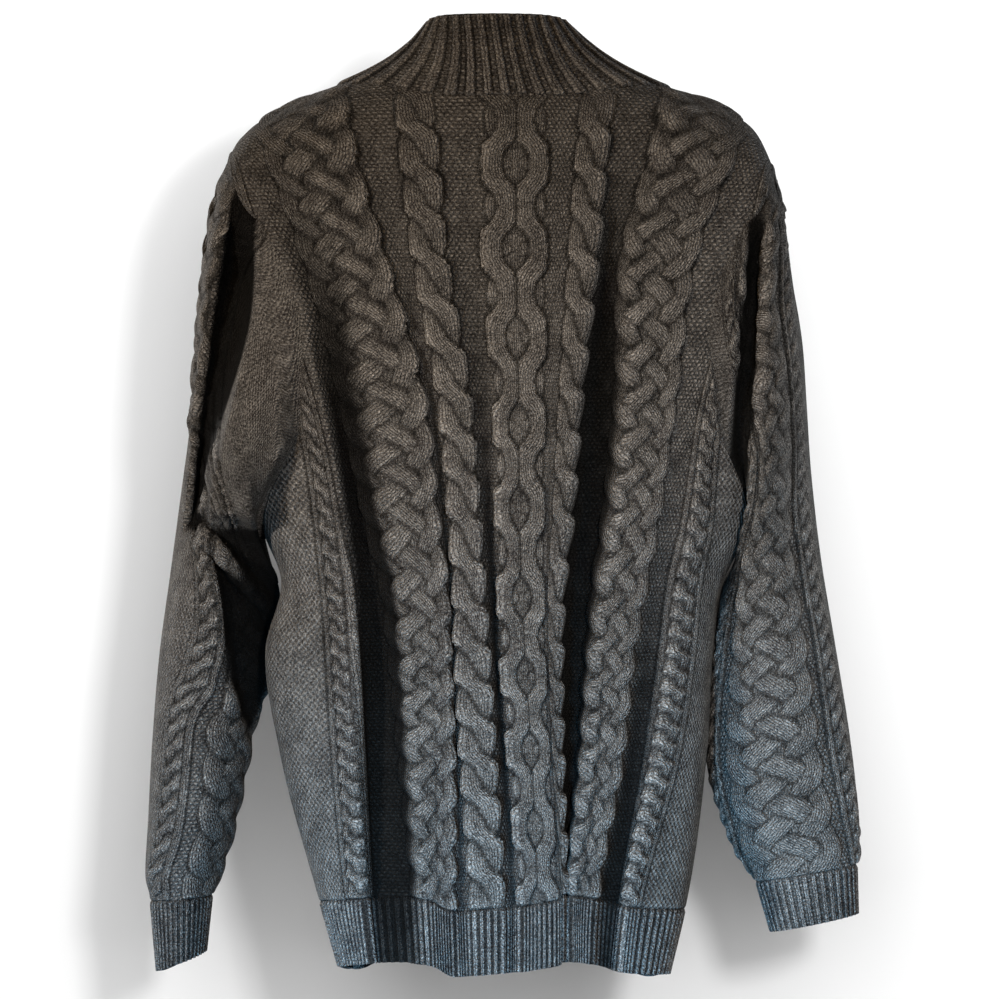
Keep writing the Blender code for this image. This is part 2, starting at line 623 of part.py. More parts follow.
def outward(grids):
    """Wall directions of all the cloth's points, shared where pieces meet, pointing out."""
    shared = {}
    for name, (grid, closed, _, _) in grids.items():
        # the back's grid runs the other way round from the fronts'
        flip = -1 if name in ("back", "hem_rib_back") else 1
        part = {}
        add_normals(part, grid, closed)
        for key, normal in part.items():
            shared[key] = shared.get(key, np.zeros(3)) + normal * flip
    return shared


def build_cloth():
    grids = cloth_grids()
    shared = outward(grids)
    for name, (grid, closed, seams, material) in grids.items():
        normals = np.array([[shared[corner_key(point)] for point in row] for row in grid])
        normals = normals / np.linalg.norm(normals, axis=-1, keepdims=True)
        walls = drawn_in(grid, seams, closed)
        place(name, wall_mesh(name, walls, normals, WALL, closed), material)
    return grids, shared


# --- the zip ----------------------------------------------------------------------------------------
def zip_edges(grids):
    """For each hand, the front's edge and its next column from the hem to the collar's top."""
    edges = {}
    for hand, word, first, second in ((1, "left", 0, 1), (-1, "right", -1, -2)):
        rib = grids["hem_rib_front_" + word][0]
        panel = grids["front_" + word][0]
        collar = grids["collar"][0]
        # the collar's columns start at the left front, its rows at its top edge
        parts = (rib[::-1], panel[::-1][1:], collar[::-1][1:])
        edges[hand] = [np.concatenate([part[:, column] for part in parts])
                       for column in (first, second)]
    return edges


def shared_normals(shared, points):
    normals = np.array([shared[corner_key(point)] for point in points])
    return normals / np.linalg.norm(normals, axis=-1, keepdims=True)


def behind(near, far, near_normals, far_normals, reach, depth):
    """Points `reach` from one line towards the other, moved in behind the cloth; and normals."""
    share = reach / np.linalg.norm(far - near, axis=-1, keepdims=True)
    normals = near_normals + (far_normals - near_normals) * share
    normals /= np.linalg.norm(normals, axis=-1, keepdims=True)
    return near + (far - near) * share - normals * depth, normals


def flat_normals(grid):
    """A direction for each row of a narrow strip, square to its length and its width."""
    along = np.gradient(grid[:, 0], axis=0)
    across = grid[:, -1] - grid[:, 0]
    normal = np.cross(across, along)
    normal /= np.linalg.norm(normal, axis=-1, keepdims=True)
    return np.repeat(normal[:, None], grid.shape[1], axis=1)


def trimmed(line, start, stop):
    """The stretch of a polyline between two distances along it."""
    lengths = np.concatenate([[0], np.cumsum(np.linalg.norm(np.diff(line, axis=0), axis=1))])
    inside = lengths[(lengths > start + MM) & (lengths < stop - MM)]
    at = np.concatenate([[start], inside, [stop]])
    return np.stack([np.interp(at, lengths, line[:, k]) for k in range(3)], axis=-1)


def box(name, frame, across, along, out):
    """A box between pairs of places in the zip's own frame."""
    origin, x, t, n = frame
    bm = bmesh.new()
    bmesh.ops.create_cube(bm, size=1.0)
    for vert in bm.verts:
        a, b, c = (low + (high - low) * (co + 0.5)
                   for (low, high), co in zip((across, along, out), vert.co))
        vert.co = origin + x * a + t * b + n * c
    bm.normal_update()
    bmesh.ops.recalc_face_normals(bm, faces=bm.faces[:])
    mesh = bpy.data.meshes.new(name)
    bm.to_mesh(mesh)
    bm.free()
    return mesh


def joined(target, tool, operation):
    """Apply a Boolean with a helper object, which then stays out of the model."""
    tool.hide_render = True
    tool.display_type = "WIRE"
    modifier = target.modifiers.new(tool.name, "BOOLEAN")
    modifier.operation = operation
    modifier.solver = "EXACT"
    modifier.object = tool


def build_slider(frame):
    inner, outer = PLATE
    wide = (-SLIDER_HALF, SLIDER_HALF)
    narrow = (-BRIDGE_HALF, BRIDGE_HALF)
    length = (0.0, SLIDER_LENGTH)
    foot, head, top = BRIDGE
    hole_foot, hole_head, hole_top = BRIDGE_HOLE
    sink = 0.4 * MM
    slider = place("zip_slider", box("zip_slider", frame, wide, length, (-outer, -inner)),
                   "zip_metal")
    added = (("slider_front_plate", wide, length, (inner, outer)),
             ("slider_neck", narrow, (NECK_START, SLIDER_LENGTH - sink), (-outer + sink, outer - sink)),
             ("slider_bridge", narrow, (foot, head), (outer - sink, top)))
    for name, across, along, out in added:
        joined(slider, place(name, box(name, frame, across, along, out), "zip_metal"), "UNION")
    clear = (-2 * BRIDGE_HALF, 2 * BRIDGE_HALF)
    hole = place("slider_hole", box("slider_hole", frame, clear, (hole_foot, hole_head),
                                    (outer, hole_top)), "zip_metal")
    joined(slider, hole, "DIFFERENCE")


def build_pull_tab(frame):
    """The tab: an outline with the eye that the bridge passes through, thickened."""
    origin, x, t, n = frame
    pivot = origin + t * TAB_AXIS[0] + n * TAB_AXIS[1]
    rings = []
    for outline in (TAB_OUTLINE, TAB_HOLE):
        half = [(a * MM, b * MM) for a, b in outline]
        rings.append(half + [(-a, b) for a, b in reversed(half)])
    bm = bmesh.new()
    loops = []
    for side in (0.5, -0.5):
        for ring in rings:
            loops.append([bm.verts.new(x * a + t * b + n * side * TAB_THICK) for a, b in ring])
    for outer, hole in ((loops[0], loops[1]), (loops[2], loops[3])):
        edges = [bm.edges.new((ring[i], ring[(i + 1) % len(ring)]))
                 for ring in (outer, hole) for i in range(len(ring))]
        bmesh.ops.triangle_fill(bm, edges=edges, use_beauty=True)
    for front, back in ((loops[0], loops[2]), (loops[1], loops[3])):
        for i in range(len(front)):
            k = (i + 1) % len(front)
            bm.faces.new((front[i], front[k], back[k], back[i]))
    bmesh.ops.recalc_face_normals(bm, faces=bm.faces[:])
    mesh = bpy.data.meshes.new("zip_pull_tab")
    bm.to_mesh(mesh)
    bm.free()
    place("zip_pull_tab", mesh, "zip_metal", pivot)


def build_zip(grids, shared):
    edges = zip_edges(grids)
    tapes = {}
    for hand, (near, far) in edges.items():
        lines = shared_normals(shared, near), shared_normals(shared, far)
        tapes[hand] = [behind(near, far, *lines, reach, TAPE_BEHIND) for reach in (0.0, TAPE_OUTER)]
    middle = (tapes[1][0][0] + tapes[-1][0][0]) / 2
    x = np.array([1.0, 0.0, 0.0])
    for hand, word in ((1, "left"), (-1, "right")):
        (edge, edge_normals), (outer, outer_normals) = tapes[hand]
        grid = np.stack([middle + x * hand * TAPE_INNER, edge, outer], axis=1)
        normals = np.stack([edge_normals, edge_normals, outer_normals], axis=1)
        place("zip_tape_" + word, wall_mesh("zip_tape_" + word, grid, normals, TAPE_THICK),
              "zip_tape")
    total = float(np.sum(np.linalg.norm(np.diff(middle, axis=0), axis=1)))
    foot = total - SLIDER_BELOW_TOP
    teeth = trimmed(middle, BOX_LENGTH + SEAM_GAP, foot + NECK_START - 2 * SEAM_GAP)
    for hand, word in ((1, "left"), (-1, "right")):
        grid = np.stack([teeth + x * hand * TEETH_INNER, teeth + x * hand * TEETH_OUTER], axis=1)
        place("zip_teeth_" + word, wall_mesh("zip_teeth_" + word, grid, flat_normals(grid),
                                             TEETH_THICK), "zip_metal")

    def frame_at(start, stop):
        ends = trimmed(middle, start, stop)
        t = (ends[-1] - ends[0]) / np.linalg.norm(ends[-1] - ends[0])
        across = x - t * np.dot(x, t)
        across /= np.linalg.norm(across)
        return ends[0], across, t, np.cross(across, t)

    base = frame_at(0.0, BOX_LENGTH)
    place("zip_bottom_box", box("zip_bottom_box", base, (-BOX_HALF, BOX_HALF),
                                (0.0, BOX_LENGTH), (-BOX_THICK / 2, BOX_THICK / 2)), "zip_metal")
    top = frame_at(foot, total - SEAM_GAP)
    build_slider(top)
    build_pull_tab(top)
    for hand, word in ((1, "left"), (-1, "right")):
        across = tuple(sorted(hand * reach for reach in STOP_ACROSS))
        name = "zip_stop_" + word
        place(name, box(name, top, across, STOP, (-BOX_THICK / 2, BOX_THICK / 2)), "zip_metal")


def main():
    for item in list(bpy.data.objects):
        bpy.data.objects.remove(item)
    grids, shared = build_cloth()
    build_zip(grids, shared)


main()
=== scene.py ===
"""A zip-up cable-knit cardigan, hanging hollow, dressed over its solids."""
import json
import logging
import math
from dataclasses import dataclass, field
from enum import Enum
from typing import Dict, List, Optional, Sequence, Tuple

import bpy
import numpy as np
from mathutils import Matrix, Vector

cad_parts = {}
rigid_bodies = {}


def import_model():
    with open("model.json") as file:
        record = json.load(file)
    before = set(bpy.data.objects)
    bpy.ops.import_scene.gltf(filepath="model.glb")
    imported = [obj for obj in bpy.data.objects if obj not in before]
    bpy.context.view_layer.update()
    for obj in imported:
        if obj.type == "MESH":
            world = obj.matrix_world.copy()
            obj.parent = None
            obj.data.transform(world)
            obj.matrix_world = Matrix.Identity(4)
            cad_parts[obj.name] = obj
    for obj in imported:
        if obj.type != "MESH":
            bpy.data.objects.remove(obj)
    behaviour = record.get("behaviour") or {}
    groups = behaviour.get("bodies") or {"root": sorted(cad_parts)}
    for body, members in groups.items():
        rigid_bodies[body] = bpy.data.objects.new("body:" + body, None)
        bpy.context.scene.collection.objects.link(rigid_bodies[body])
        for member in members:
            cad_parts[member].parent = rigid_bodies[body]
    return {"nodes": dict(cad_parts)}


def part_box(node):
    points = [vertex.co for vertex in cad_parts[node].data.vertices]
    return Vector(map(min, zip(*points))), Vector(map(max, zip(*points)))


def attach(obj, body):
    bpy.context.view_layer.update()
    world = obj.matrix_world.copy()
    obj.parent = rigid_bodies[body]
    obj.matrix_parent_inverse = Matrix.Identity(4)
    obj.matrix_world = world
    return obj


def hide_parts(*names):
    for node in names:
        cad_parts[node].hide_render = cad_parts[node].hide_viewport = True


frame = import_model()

MM = 0.001
# depth at which a fold's painted shade is as dark as it gets
FOLD_DARK = 13 * MM
Array = np.ndarray
Colour = Tuple[float, float, float]
Place = Tuple[float, float, float]
Rows = Tuple[Tuple[float, ...], ...]
Socket = bpy.types.NodeSocket
# points and normals of a line, and of one beside it
Lines = List[Tuple[np.ndarray, np.ndarray]]
log = logging.getLogger("cardigan")


class Hand(Enum):
    """The garment's own left and right; the value is the sign of X."""

    LEFT = 1
    RIGHT = -1

    @property
    def word(self) -> str:
        """The hand's word in names."""
        return self.name.lower()


class Side(Enum):
    """The back or a front of the body; the value is the sign of Y."""

    BACK = 1
    FRONT = -1


def blend(low: Array, high: Array, start: Array, end: Array, share: Array) -> Array:
    """Smooth run from one value to the next.

    Args:
        low: The value at the start.
        high: The value at the end.
        start: Its rise over the whole run, as it sets out.
        end: The same as it arrives.
        share: Share of the run.

    Returns:
        The values there.
    """
    left = 1 - share
    return (low * (1 + 2 * share) * left ** 2 + start * share * left ** 2
            + high * share * share * (3 - 2 * share) - end * share * share * left)


def through(knots: Sequence[float], values: Array, at: Array) -> Array:
    """Value of a smooth curve through a table's rows.

    Args:
        knots: The table's first column, rising.
        values: One value, or a row of values, for each knot.
        at: Where the curve is read.

    Returns:
        The values there, with the table's columns last.
    """
    knots = np.asarray(knots, float)
    values = np.asarray(values, float)
    slopes = np.gradient(values, knots, axis=0)
    at = np.clip(np.asarray(at, float), knots[0], knots[-1])
    row = np.clip(np.searchsorted(knots, at, side="right") - 1, 0, len(knots) - 2)
    span = knots[row + 1] - knots[row]
    share = (at - knots[row]) / span
    if values.ndim > 1:
        share, span = share[..., None], span[..., None]
    return blend(values[row], values[row + 1], slopes[row] * span, slopes[row + 1] * span, share)


def ease(share: Array) -> Array:
    """Smooth step from 0 to 1."""
    share = np.clip(share, 0.0, 1.0)
    return share * share * (3 - 2 * share)


def lengths(points: Array, axis: int) -> Array:
    """Distance along the lines of a grid of points, from its first row or column.

    Args:
        points: The grid.
        axis: 0 to go down the rows, 1 to go across the columns.

    Returns:
        The distance at each point.
    """
    steps = np.linalg.norm(np.diff(points, axis=axis), axis=-1)
    start = np.zeros_like(np.take(steps, [0], axis=axis))
    return np.cumsum(np.concatenate([start, steps], axis=axis), axis=axis)


@dataclass(frozen=True)
class BodyForm:
    """The hanging body's surface, by knit column and drop; tables in millimetres."""

    column_cloth: Tuple[float, ...] = (-300, -238, -206, -178, -112, -84, -56, -28,
                                       0, 28, 56, 84, 112, 178, 206, 238, 300)
    # drop, then X of each of those columns
    levels: Rows = (
        (0, -262, -243, -224, -202, -122, -88, -60, -34,
         -8, 20, 58, 88, 124, 206, 226, 246, 266),
        (40, -256, -230, -209, -186, -114, -82, -56, -34,
         -8, 18, 53, 84, 118, 193, 215, 236, 262),
        (120, -242, -214, -190, -154, -92, -74, -50, -33,
         -8, 18, 47, 74, 96, 164, 190, 214, 250),
        (240, -218, -174, -154, -136, -86, -60, -42, -32,
         -10, 8, 28, 52, 64, 132, 150, 168, 232),
        (350, -190, -162, -136, -118, -75, -51, -36, -31,
         -11, 5, 20, 42, 52, 108, 127, 149, 190),
        (380, -175, -156, -129, -112, -70, -47, -34, -31,
         -12, 4, 18, 40, 48, 100, 122, 146, 178),
        (440, -165, -150, -121, -101, -64, -44, -34, -32,
         -15, 2, 14, 38, 45, 92, 117, 141, 190),
        (520, -160, -138, -110, -92, -59, -44, -37, -35,
         -20, -4, 9, 34, 42, 84, 112, 136, 179),
        (640, -144, -106, -90, -71, -50, -46, -44, -42,
         -25, -12, 2, 26, 40, 72, 104, 124, 147),
        (700, -130, -98, -84, -68, -50, -46, -44, -42,
         -25, -12, 2, 24, 38, 68, 98, 114, 130),
    )
    fold_drops: Tuple[float, ...] = (0, 240, 460, 690)
    # top column, hem column, half widths to the left and right, depths at the fold drops
    back_folds: Tuple[Tuple, ...] = (
        (170, 194, 22, 28, (0, 12, 25, 15)),
        (98, 98, 17, 17, (1, 6, 9, 4)),
        (42, 42, 16, 17, (1, 7, 11, 6)),
        (-96, -94, 17, 32, (1, 16, 26, 6)),
        (-192, -194, 20, 24, (0, 0, 9, 14)),
    )
    front_folds: Tuple[Tuple, ...] = (
        (96, 90, 28, 30, (0, 7, 12, 16)),
        (196, 200, 30, 26, (0, 6, 13, 18)),
        (-84, -80, 28, 26, (0, 5, 10, 13)),
        (-150, -142, 24, 28, (0, 4, 9, 14)),
        (-214, -220, 26, 26, (0, 7, 12, 17)),
    )
    # small dips: drop, column, half height, half width, slant, depth
    back_dips: Rows = (
        (92, 236, 34, 14, 0.5, 3.0),
        (150, 150, 60, 12, 0.25, 2.5),
        (205, -150, 70, 14, -0.2, 3.0),
        (300, 64, 80, 10, 0.05, 2.5),
        (330, -236, 60, 15, -0.35, 3.5),
        (430, 236, 70, 16, 0.2, 4.0),
        (520, -140, 90, 12, -0.08, 3.0),
        (560, 140, 80, 11, 0.05, 2.5),
        (600, -246, 60, 14, -0.1, 3.5),
    )
    front_dips: Rows = (
        (140, 150, 60, 15, 0.3, 3.0),
        (230, -170, 80, 16, -0.25, 3.5),
        (330, 60, 90, 13, 0.05, 2.5),
        (420, -48, 100, 12, -0.04, 2.5),
        (470, 250, 80, 18, 0.15, 4.0),
        (560, 150, 80, 14, 0.05, 3.0),
        (590, -252, 70, 15, -0.1, 3.5),
    )
    # folds die away towards the panel's edge, over the shoulder and round the side
    fold_fade: float = 18 * MM
    fold_start: float = 0.6
    fold_rise: float = 60 * MM
    side_fade: float = 0.12
    fold_flatness: float = 3.0
    fold_steepness: float = 1.2
    crease: float = 0.08
    crease_width: float = 6 * MM
    # how far the back and the fronts stand from the side line, and X of the zip, by drop
    depth_drops: Tuple[float, ...] = (0, 120, 240, 380, 520, 640, 700)
    back_depth: Tuple[float, ...] = (84, 100, 106, 108, 112, 116, 114)
    front_depth: Tuple[float, ...] = (84, 104, 118, 124, 126, 120, 116)
    zip_sideways: Tuple[float, ...] = (0, 0, 1, 5, 13, 24, 31)
    # height of the shoulder's crest on each side, by distance from the middle
    crest_at: Tuple[float, ...] = (0, 60, 100, 126, 152, 180, 206, 216, 226, 240, 266)
    crest_left: Tuple[float, ...] = (35, 31, 24, 15, 4, -9, -25, -37, -62, -120, -210)
    crest_right: Tuple[float, ...] = (35, 31, 23, 12, 2, -10, -35, -60, -98, -150, -230)
    # how far down the cloth turns over the shoulder, by distance from the middle
    turn_at: Tuple[float, ...] = (0, 130, 183, 217, 266)
    turn_height: Tuple[float, ...] = (64, 60, 52, 44, 40)
    # half width of a panel's cloth down the armhole, and X of a front's edge there
    armhole_drops: Tuple[float, ...] = (40, 90, 103, 120, 152, 183, 240, 300, 335, 350)
    armhole_width: Tuple[float, ...] = (212, 212, 201, 198, 195, 197, 227, 256, 284, 300)
    front_armhole_x: Tuple[float, ...] = (220, 204, 198, 192, 184, 180, 179, 182, 187, 190)
    # drop of the hem at each column
    back_bottom: Tuple[float, ...] = (700, 695, 692, 687, 684, 683, 684, 687, 690,
                                      692, 693, 695, 696, 686, 687, 689, 694)
    front_columns: Tuple[float, ...] = (-300, -220, -120, 0, 120, 220, 300)
    front_bottom: Tuple[float, ...] = (700, 706, 698, 706, 696, 700, 694)
    half_cloth: float = 300 * MM
    narrow_from: float = 178 * MM
    neck_cloth: float = 121 * MM
    neck_drop_front: float = 62 * MM
    underarm: float = 350 * MM
    rib_height: float = 52 * MM
    zip_edge: float = 6 * MM
    seam_lean: float = math.radians(36.0)
    seam_drift: float = 28 * MM
    section_power: float = 2.3
    crowding: float = 1.15
    # how the fronts take over from the back's columns, below the shoulder
    shoulder_drop: float = 30 * MM
    shoulder_middle: float = 110 * MM
    shoulder_spread: float = 1.09
    front_from: float = 20 * MM
    front_rise: float = 160 * MM
    # powers of the neckline's scoop: back, front, and the front's corner
    scoop_back: float = 4
    scoop_front: float = 1.3
    scoop_corner: float = 1.1
    seam_rounds: int = 12

    def table(self, at: Sequence[float], values: Sequence[float], where: Array) -> Array:
        """Read a table, kept in millimetres, in metres."""
        return through(np.array(at) * MM, np.array(values, float) * MM, where)

    def seams_x(self, drop: Array) -> Tuple[Array, Array]:
        """X of the back's side lines, right and left.

        Args:
            drop: Where they are read.

        Returns:
            X of the right line and of the left one.
        """
        rows = np.array(self.levels, float) * MM
        ends = through(rows[:, 0], rows[:, [1, -1]], drop)
        return ends[..., 0], ends[..., 1]

    def back_x(self, cloth: Array, drop: Array) -> Array:
        """X of the back's knit columns; the outermost run round the body's sides.

        Args:
            cloth: Knit column.
            drop: Depth below the neck seam.

        Returns:
            X at each point.
        """
        rows = np.array(self.levels, float) * MM
        columns = np.array(self.column_cloth) * MM
        hung = through(rows[:, 0], rows[:, 1:], drop)
        slopes = np.gradient(hung, columns, axis=-1)
        at = np.clip(cloth, columns[0], columns[-1])
        last = len(columns) - 2
        near = np.clip(np.searchsorted(columns, at, side="right") - 1, 0, last)
        span = columns[near + 1] - columns[near]
        share = (at - columns[near]) / span

        def pick(table: Array, index: Array) -> Array:
            """One column of a table for each point."""
            return np.take_along_axis(table, index[..., None], axis=-1)[..., 0]

        low, high = pick(hung, near), pick(hung, near + 1)
        x = blend(low, high, pick(slopes, near) * span, pick(slopes, near + 1) * span, share)
        x = np.where(near == last, low + (high - low) * np.sin(share * math.pi / 2), x)
        return np.where(near == 0, high + (low - high) * np.sin((1 - share) * math.pi / 2), x)

    def crest(self, x: Array) -> Array:
        """Height of the shoulder's crest above the neck seam.

        Args:
            x: Where it is read.

        Returns:
            The height; the two shoulders slope differently.
        """
        left = self.table(self.crest_at, self.crest_left, np.abs(x))
        right = self.table(self.crest_at, self.crest_right, np.abs(x))
        return np.where(x > 0, left, right)

    def edge_cloth(self, drop: Array) -> Array:
        """Half width of a panel's cloth at a drop."""
        return self.table(self.armhole_drops, self.armhole_width, drop)

    def narrowed(self, cloth: Array, drop: Array) -> Array:
        """Knit column of a grid line, crowded inwards up the armhole.

        Args:
            cloth: The grid's columns.
            drop: Depth below the neck seam.

        Returns:
            The column at each point.
        """
        edge = self.edge_cloth(drop)
        out = np.maximum(np.abs(cloth) - self.narrow_from, 0) / (self.half_cloth - self.narrow_from)
        inner = np.minimum(np.abs(cloth), self.narrow_from)
        return np.sign(cloth) * (inner + out * (edge - self.narrow_from))

    def folds(self, side: Side, cloth: Array, drop: Array) -> Array:
        """How far the folds and the small dips draw the cloth inwards.

        Args:
            side: The back or a front.
            cloth: Knit column.
            drop: Depth below the neck seam.

        Returns:
            The depth at each point.
        """
        total = np.zeros(np.broadcast(cloth, drop).shape)
        rows = self.back_folds if side is Side.BACK else self.front_folds
        for top, hem, left, right, depths in rows:
            middle = (top + (hem - top) * ease(drop / (self.fold_drops[-1] * MM))) * MM
            away = cloth - middle
            reach = np.where(away > 0, left, right) * MM
            depth = self.table(self.fold_drops, depths, drop)
            bowl = 1 - np.clip(np.abs(away) / reach, 0, 1) ** self.fold_flatness
            line = self.crease * np.exp(-(away / self.crease_width) ** 2)
            total = total + depth * (bowl ** self.fold_steepness + line)
        for at, column, tall, wide, slant, depth in (
                self.back_dips if side is Side.BACK else self.front_dips):
            down = (drop - at * MM) / (tall * MM)
            across = (cloth - column * MM - (drop - at * MM) * slant) / (wide * MM)
            total = total + depth * MM * np.exp(-down ** 2 - across ** 2)
        return total * ease((self.edge_cloth(drop) - np.abs(cloth)) / self.fold_fade)

    def front_x(self, cloth: Array, drop: Array) -> Array:
        """X of the fronts' knit columns; at the shoulders it is the back's.

        Args:
            cloth: Knit column.
            drop: Depth below the neck seam.

        Returns:
            X at each point.
        """
        right, left = self.seams_x(drop)
        armhole = self.table(self.armhole_drops, self.front_armhole_x, drop)
        edge = np.where(drop < self.underarm, np.sign(cloth) * armhole,
                        np.where(cloth > 0, left, right))
        middle = self.table(self.depth_drops, self.zip_sideways, drop)
        quarter = math.pi / 2 / self.half_cloth
        share = np.sin(np.abs(cloth) * quarter) / np.sin(self.edge_cloth(drop) * quarter)
        round_x = middle + (edge - middle) * share
        shoulder = self.back_x(cloth, np.full(np.shape(cloth), self.shoulder_drop))
        in_middle = np.abs(cloth) < self.shoulder_middle
        shoulder = np.where(in_middle, cloth * self.shoulder_spread, shoulder)
        return shoulder + (round_x - shoulder) * ease((drop - self.front_from) / self.front_rise)

    def point(self, side: Side, cloth: Array, drop: Array) -> Array:
        """Point of the body's middle surface.

        Args:
            side: The back or a front.
            cloth: Knit column, from the middle of the panel.
            drop: Depth below the neck seam; over the shoulder, the distance along the cloth.

        Returns:
            The points in the row frame.
        """
        cloth, drop = np.broadcast_arrays(np.asarray(cloth, float), np.asarray(drop, float))
        x = self.back_x(cloth, drop) if side is Side.BACK else self.front_x(cloth, drop)
        top = self.crest(x)
        turn = self.table(self.turn_at, self.turn_height, np.abs(x))
        along = top - turn + turn * math.pi / 2 + drop
        angle = np.clip(along / turn, -math.pi / 2, math.pi / 2) * side.value
        z = top - turn * (1 - np.cos(angle)) - np.maximum(along - turn * math.pi / 2, 0)
        right, left = self.seams_x(-z)
        out = np.clip(np.abs(x) / np.where(x > 0, left, -right), 0, 1)
        rim = (1 - out ** self.section_power) ** (1 / self.section_power)
        depth = np.where(angle > 0, self.table(self.depth_drops, self.back_depth, -z),
                         self.table(self.depth_drops, self.front_depth, -z))
        folds = self.folds(side, cloth, drop)
        folds = folds * ease((along - self.fold_start * turn) / self.fold_rise)
        y = depth * rim * np.sin(angle) - folds * side.value * ease((1 - out) / self.side_fade)
        return np.stack([x, y, z], axis=-1)

    def top_drop(self, side: Side, cloth: Array) -> Array:
        """Drop at which a column meets the neckline or the shoulder seam.

        Args:
            side: The back or a front.
            cloth: The grid's columns.

        Returns:
            The drop of each, found in a few rounds.
        """
        cloth = np.asarray(cloth, float)
        drop = np.zeros(cloth.shape)
        for _ in range(self.seam_rounds):
            inside = self.narrowed(cloth, drop)
            x = self.back_x(inside, drop) if side is Side.BACK else self.front_x(inside, drop)
            top = self.crest(x)
            turn = self.table(self.turn_at, self.turn_height, np.abs(x))
            out = np.clip(np.abs(cloth) / self.neck_cloth, 0, 1)
            if side is Side.BACK:
                scoop, low = 1 - out ** self.scoop_back, 0.0
            else:
                scoop = (1 - out ** self.scoop_front) ** self.scoop_corner
                low = self.neck_drop_front
            neck = top - (top + low) * scoop
            fall = np.maximum(top - neck, 0)
            bend = np.arccos(np.clip(1 - fall / turn, 0, 1))
            on_neck = turn * bend + np.maximum(fall - turn, 0)
            lean = self.seam_lean * ease((np.abs(cloth) - self.neck_cloth) / self.seam_drift)
            along = np.where(np.abs(cloth) < self.neck_cloth, on_neck, turn * lean * side.value)
            drop = 0.5 * drop + 0.5 * (along - (top - turn + turn * math.pi / 2))
        return drop

    def bottom_drop(self, side: Side, cloth: Array) -> Array:
        """Drop of the rib's bottom edge.

        Args:
            side: The back or a front.
            cloth: Knit column.

        Returns:
            The drop at each column.
        """
        if side is Side.BACK:
            return self.table(self.column_cloth, self.back_bottom, cloth)
        return self.table(self.front_columns, self.front_bottom, cloth)

    def panel(self, side: Side, cloth: Array, above: int, below: int) -> Tuple[Array, Array, Array]:
        """Grid of a panel, from its top edge to the hem rib.

        Args:
            side: The back or a front.
            cloth: The grid's columns.
            above: Rows down to the underarm.
            below: Rows from the underarm to the rib.

        Returns:
            The points, and for each its knit column and its drop.
        """
        start = self.top_drop(side, cloth)
        end = self.bottom_drop(side, cloth) - self.rib_height
        up = (np.arange(above + 1) / above)[:, None] ** self.crowding
        down = (np.arange(1, below + 1) / below)[:, None]
        drop = np.concatenate([start + (self.underarm - start) * up,
                               self.underarm + (end - self.underarm) * down])
        column = self.narrowed(cloth, drop)
        return self.point(side, column, drop), column, drop

    def rib(self, side: Side, cloth: Array, rows: int) -> Tuple[Array, Array, Array]:
        """Grid of the hem rib under a panel, in the same form.

        Args:
            side: The back or a front.
            cloth: The grid's columns.
            rows: Rows down the rib.

        Returns:
            The points, and for each its knit column and its drop.
        """
        end = self.bottom_drop(side, cloth)
        drop = end - self.rib_height * (1 - np.linspace(0, 1, rows)[:, None])
        column = np.broadcast_to(cloth, drop.shape)
        return self.point(side, column, drop), column, drop

    def armhole(self, hand: Hand, turn: Array) -> Array:
        """Points round an armhole.

        Args:
            hand: Which armhole.
            turn: Angle that goes down the back's edge and up the front's.

        Returns:
            The points.
        """
        share = np.where(turn <= math.pi, turn, 2 * math.pi - turn) / math.pi
        cloth = np.full(np.shape(turn), hand.value * self.half_cloth)
        points = []
        for side in (Side.BACK, Side.FRONT):
            start = self.top_drop(side, cloth)
            drop = start + (self.underarm - start) * share ** self.crowding
            points.append(self.point(side, self.narrowed(cloth, drop), drop))
        return np.where((turn <= math.pi)[..., None], points[0], points[1])


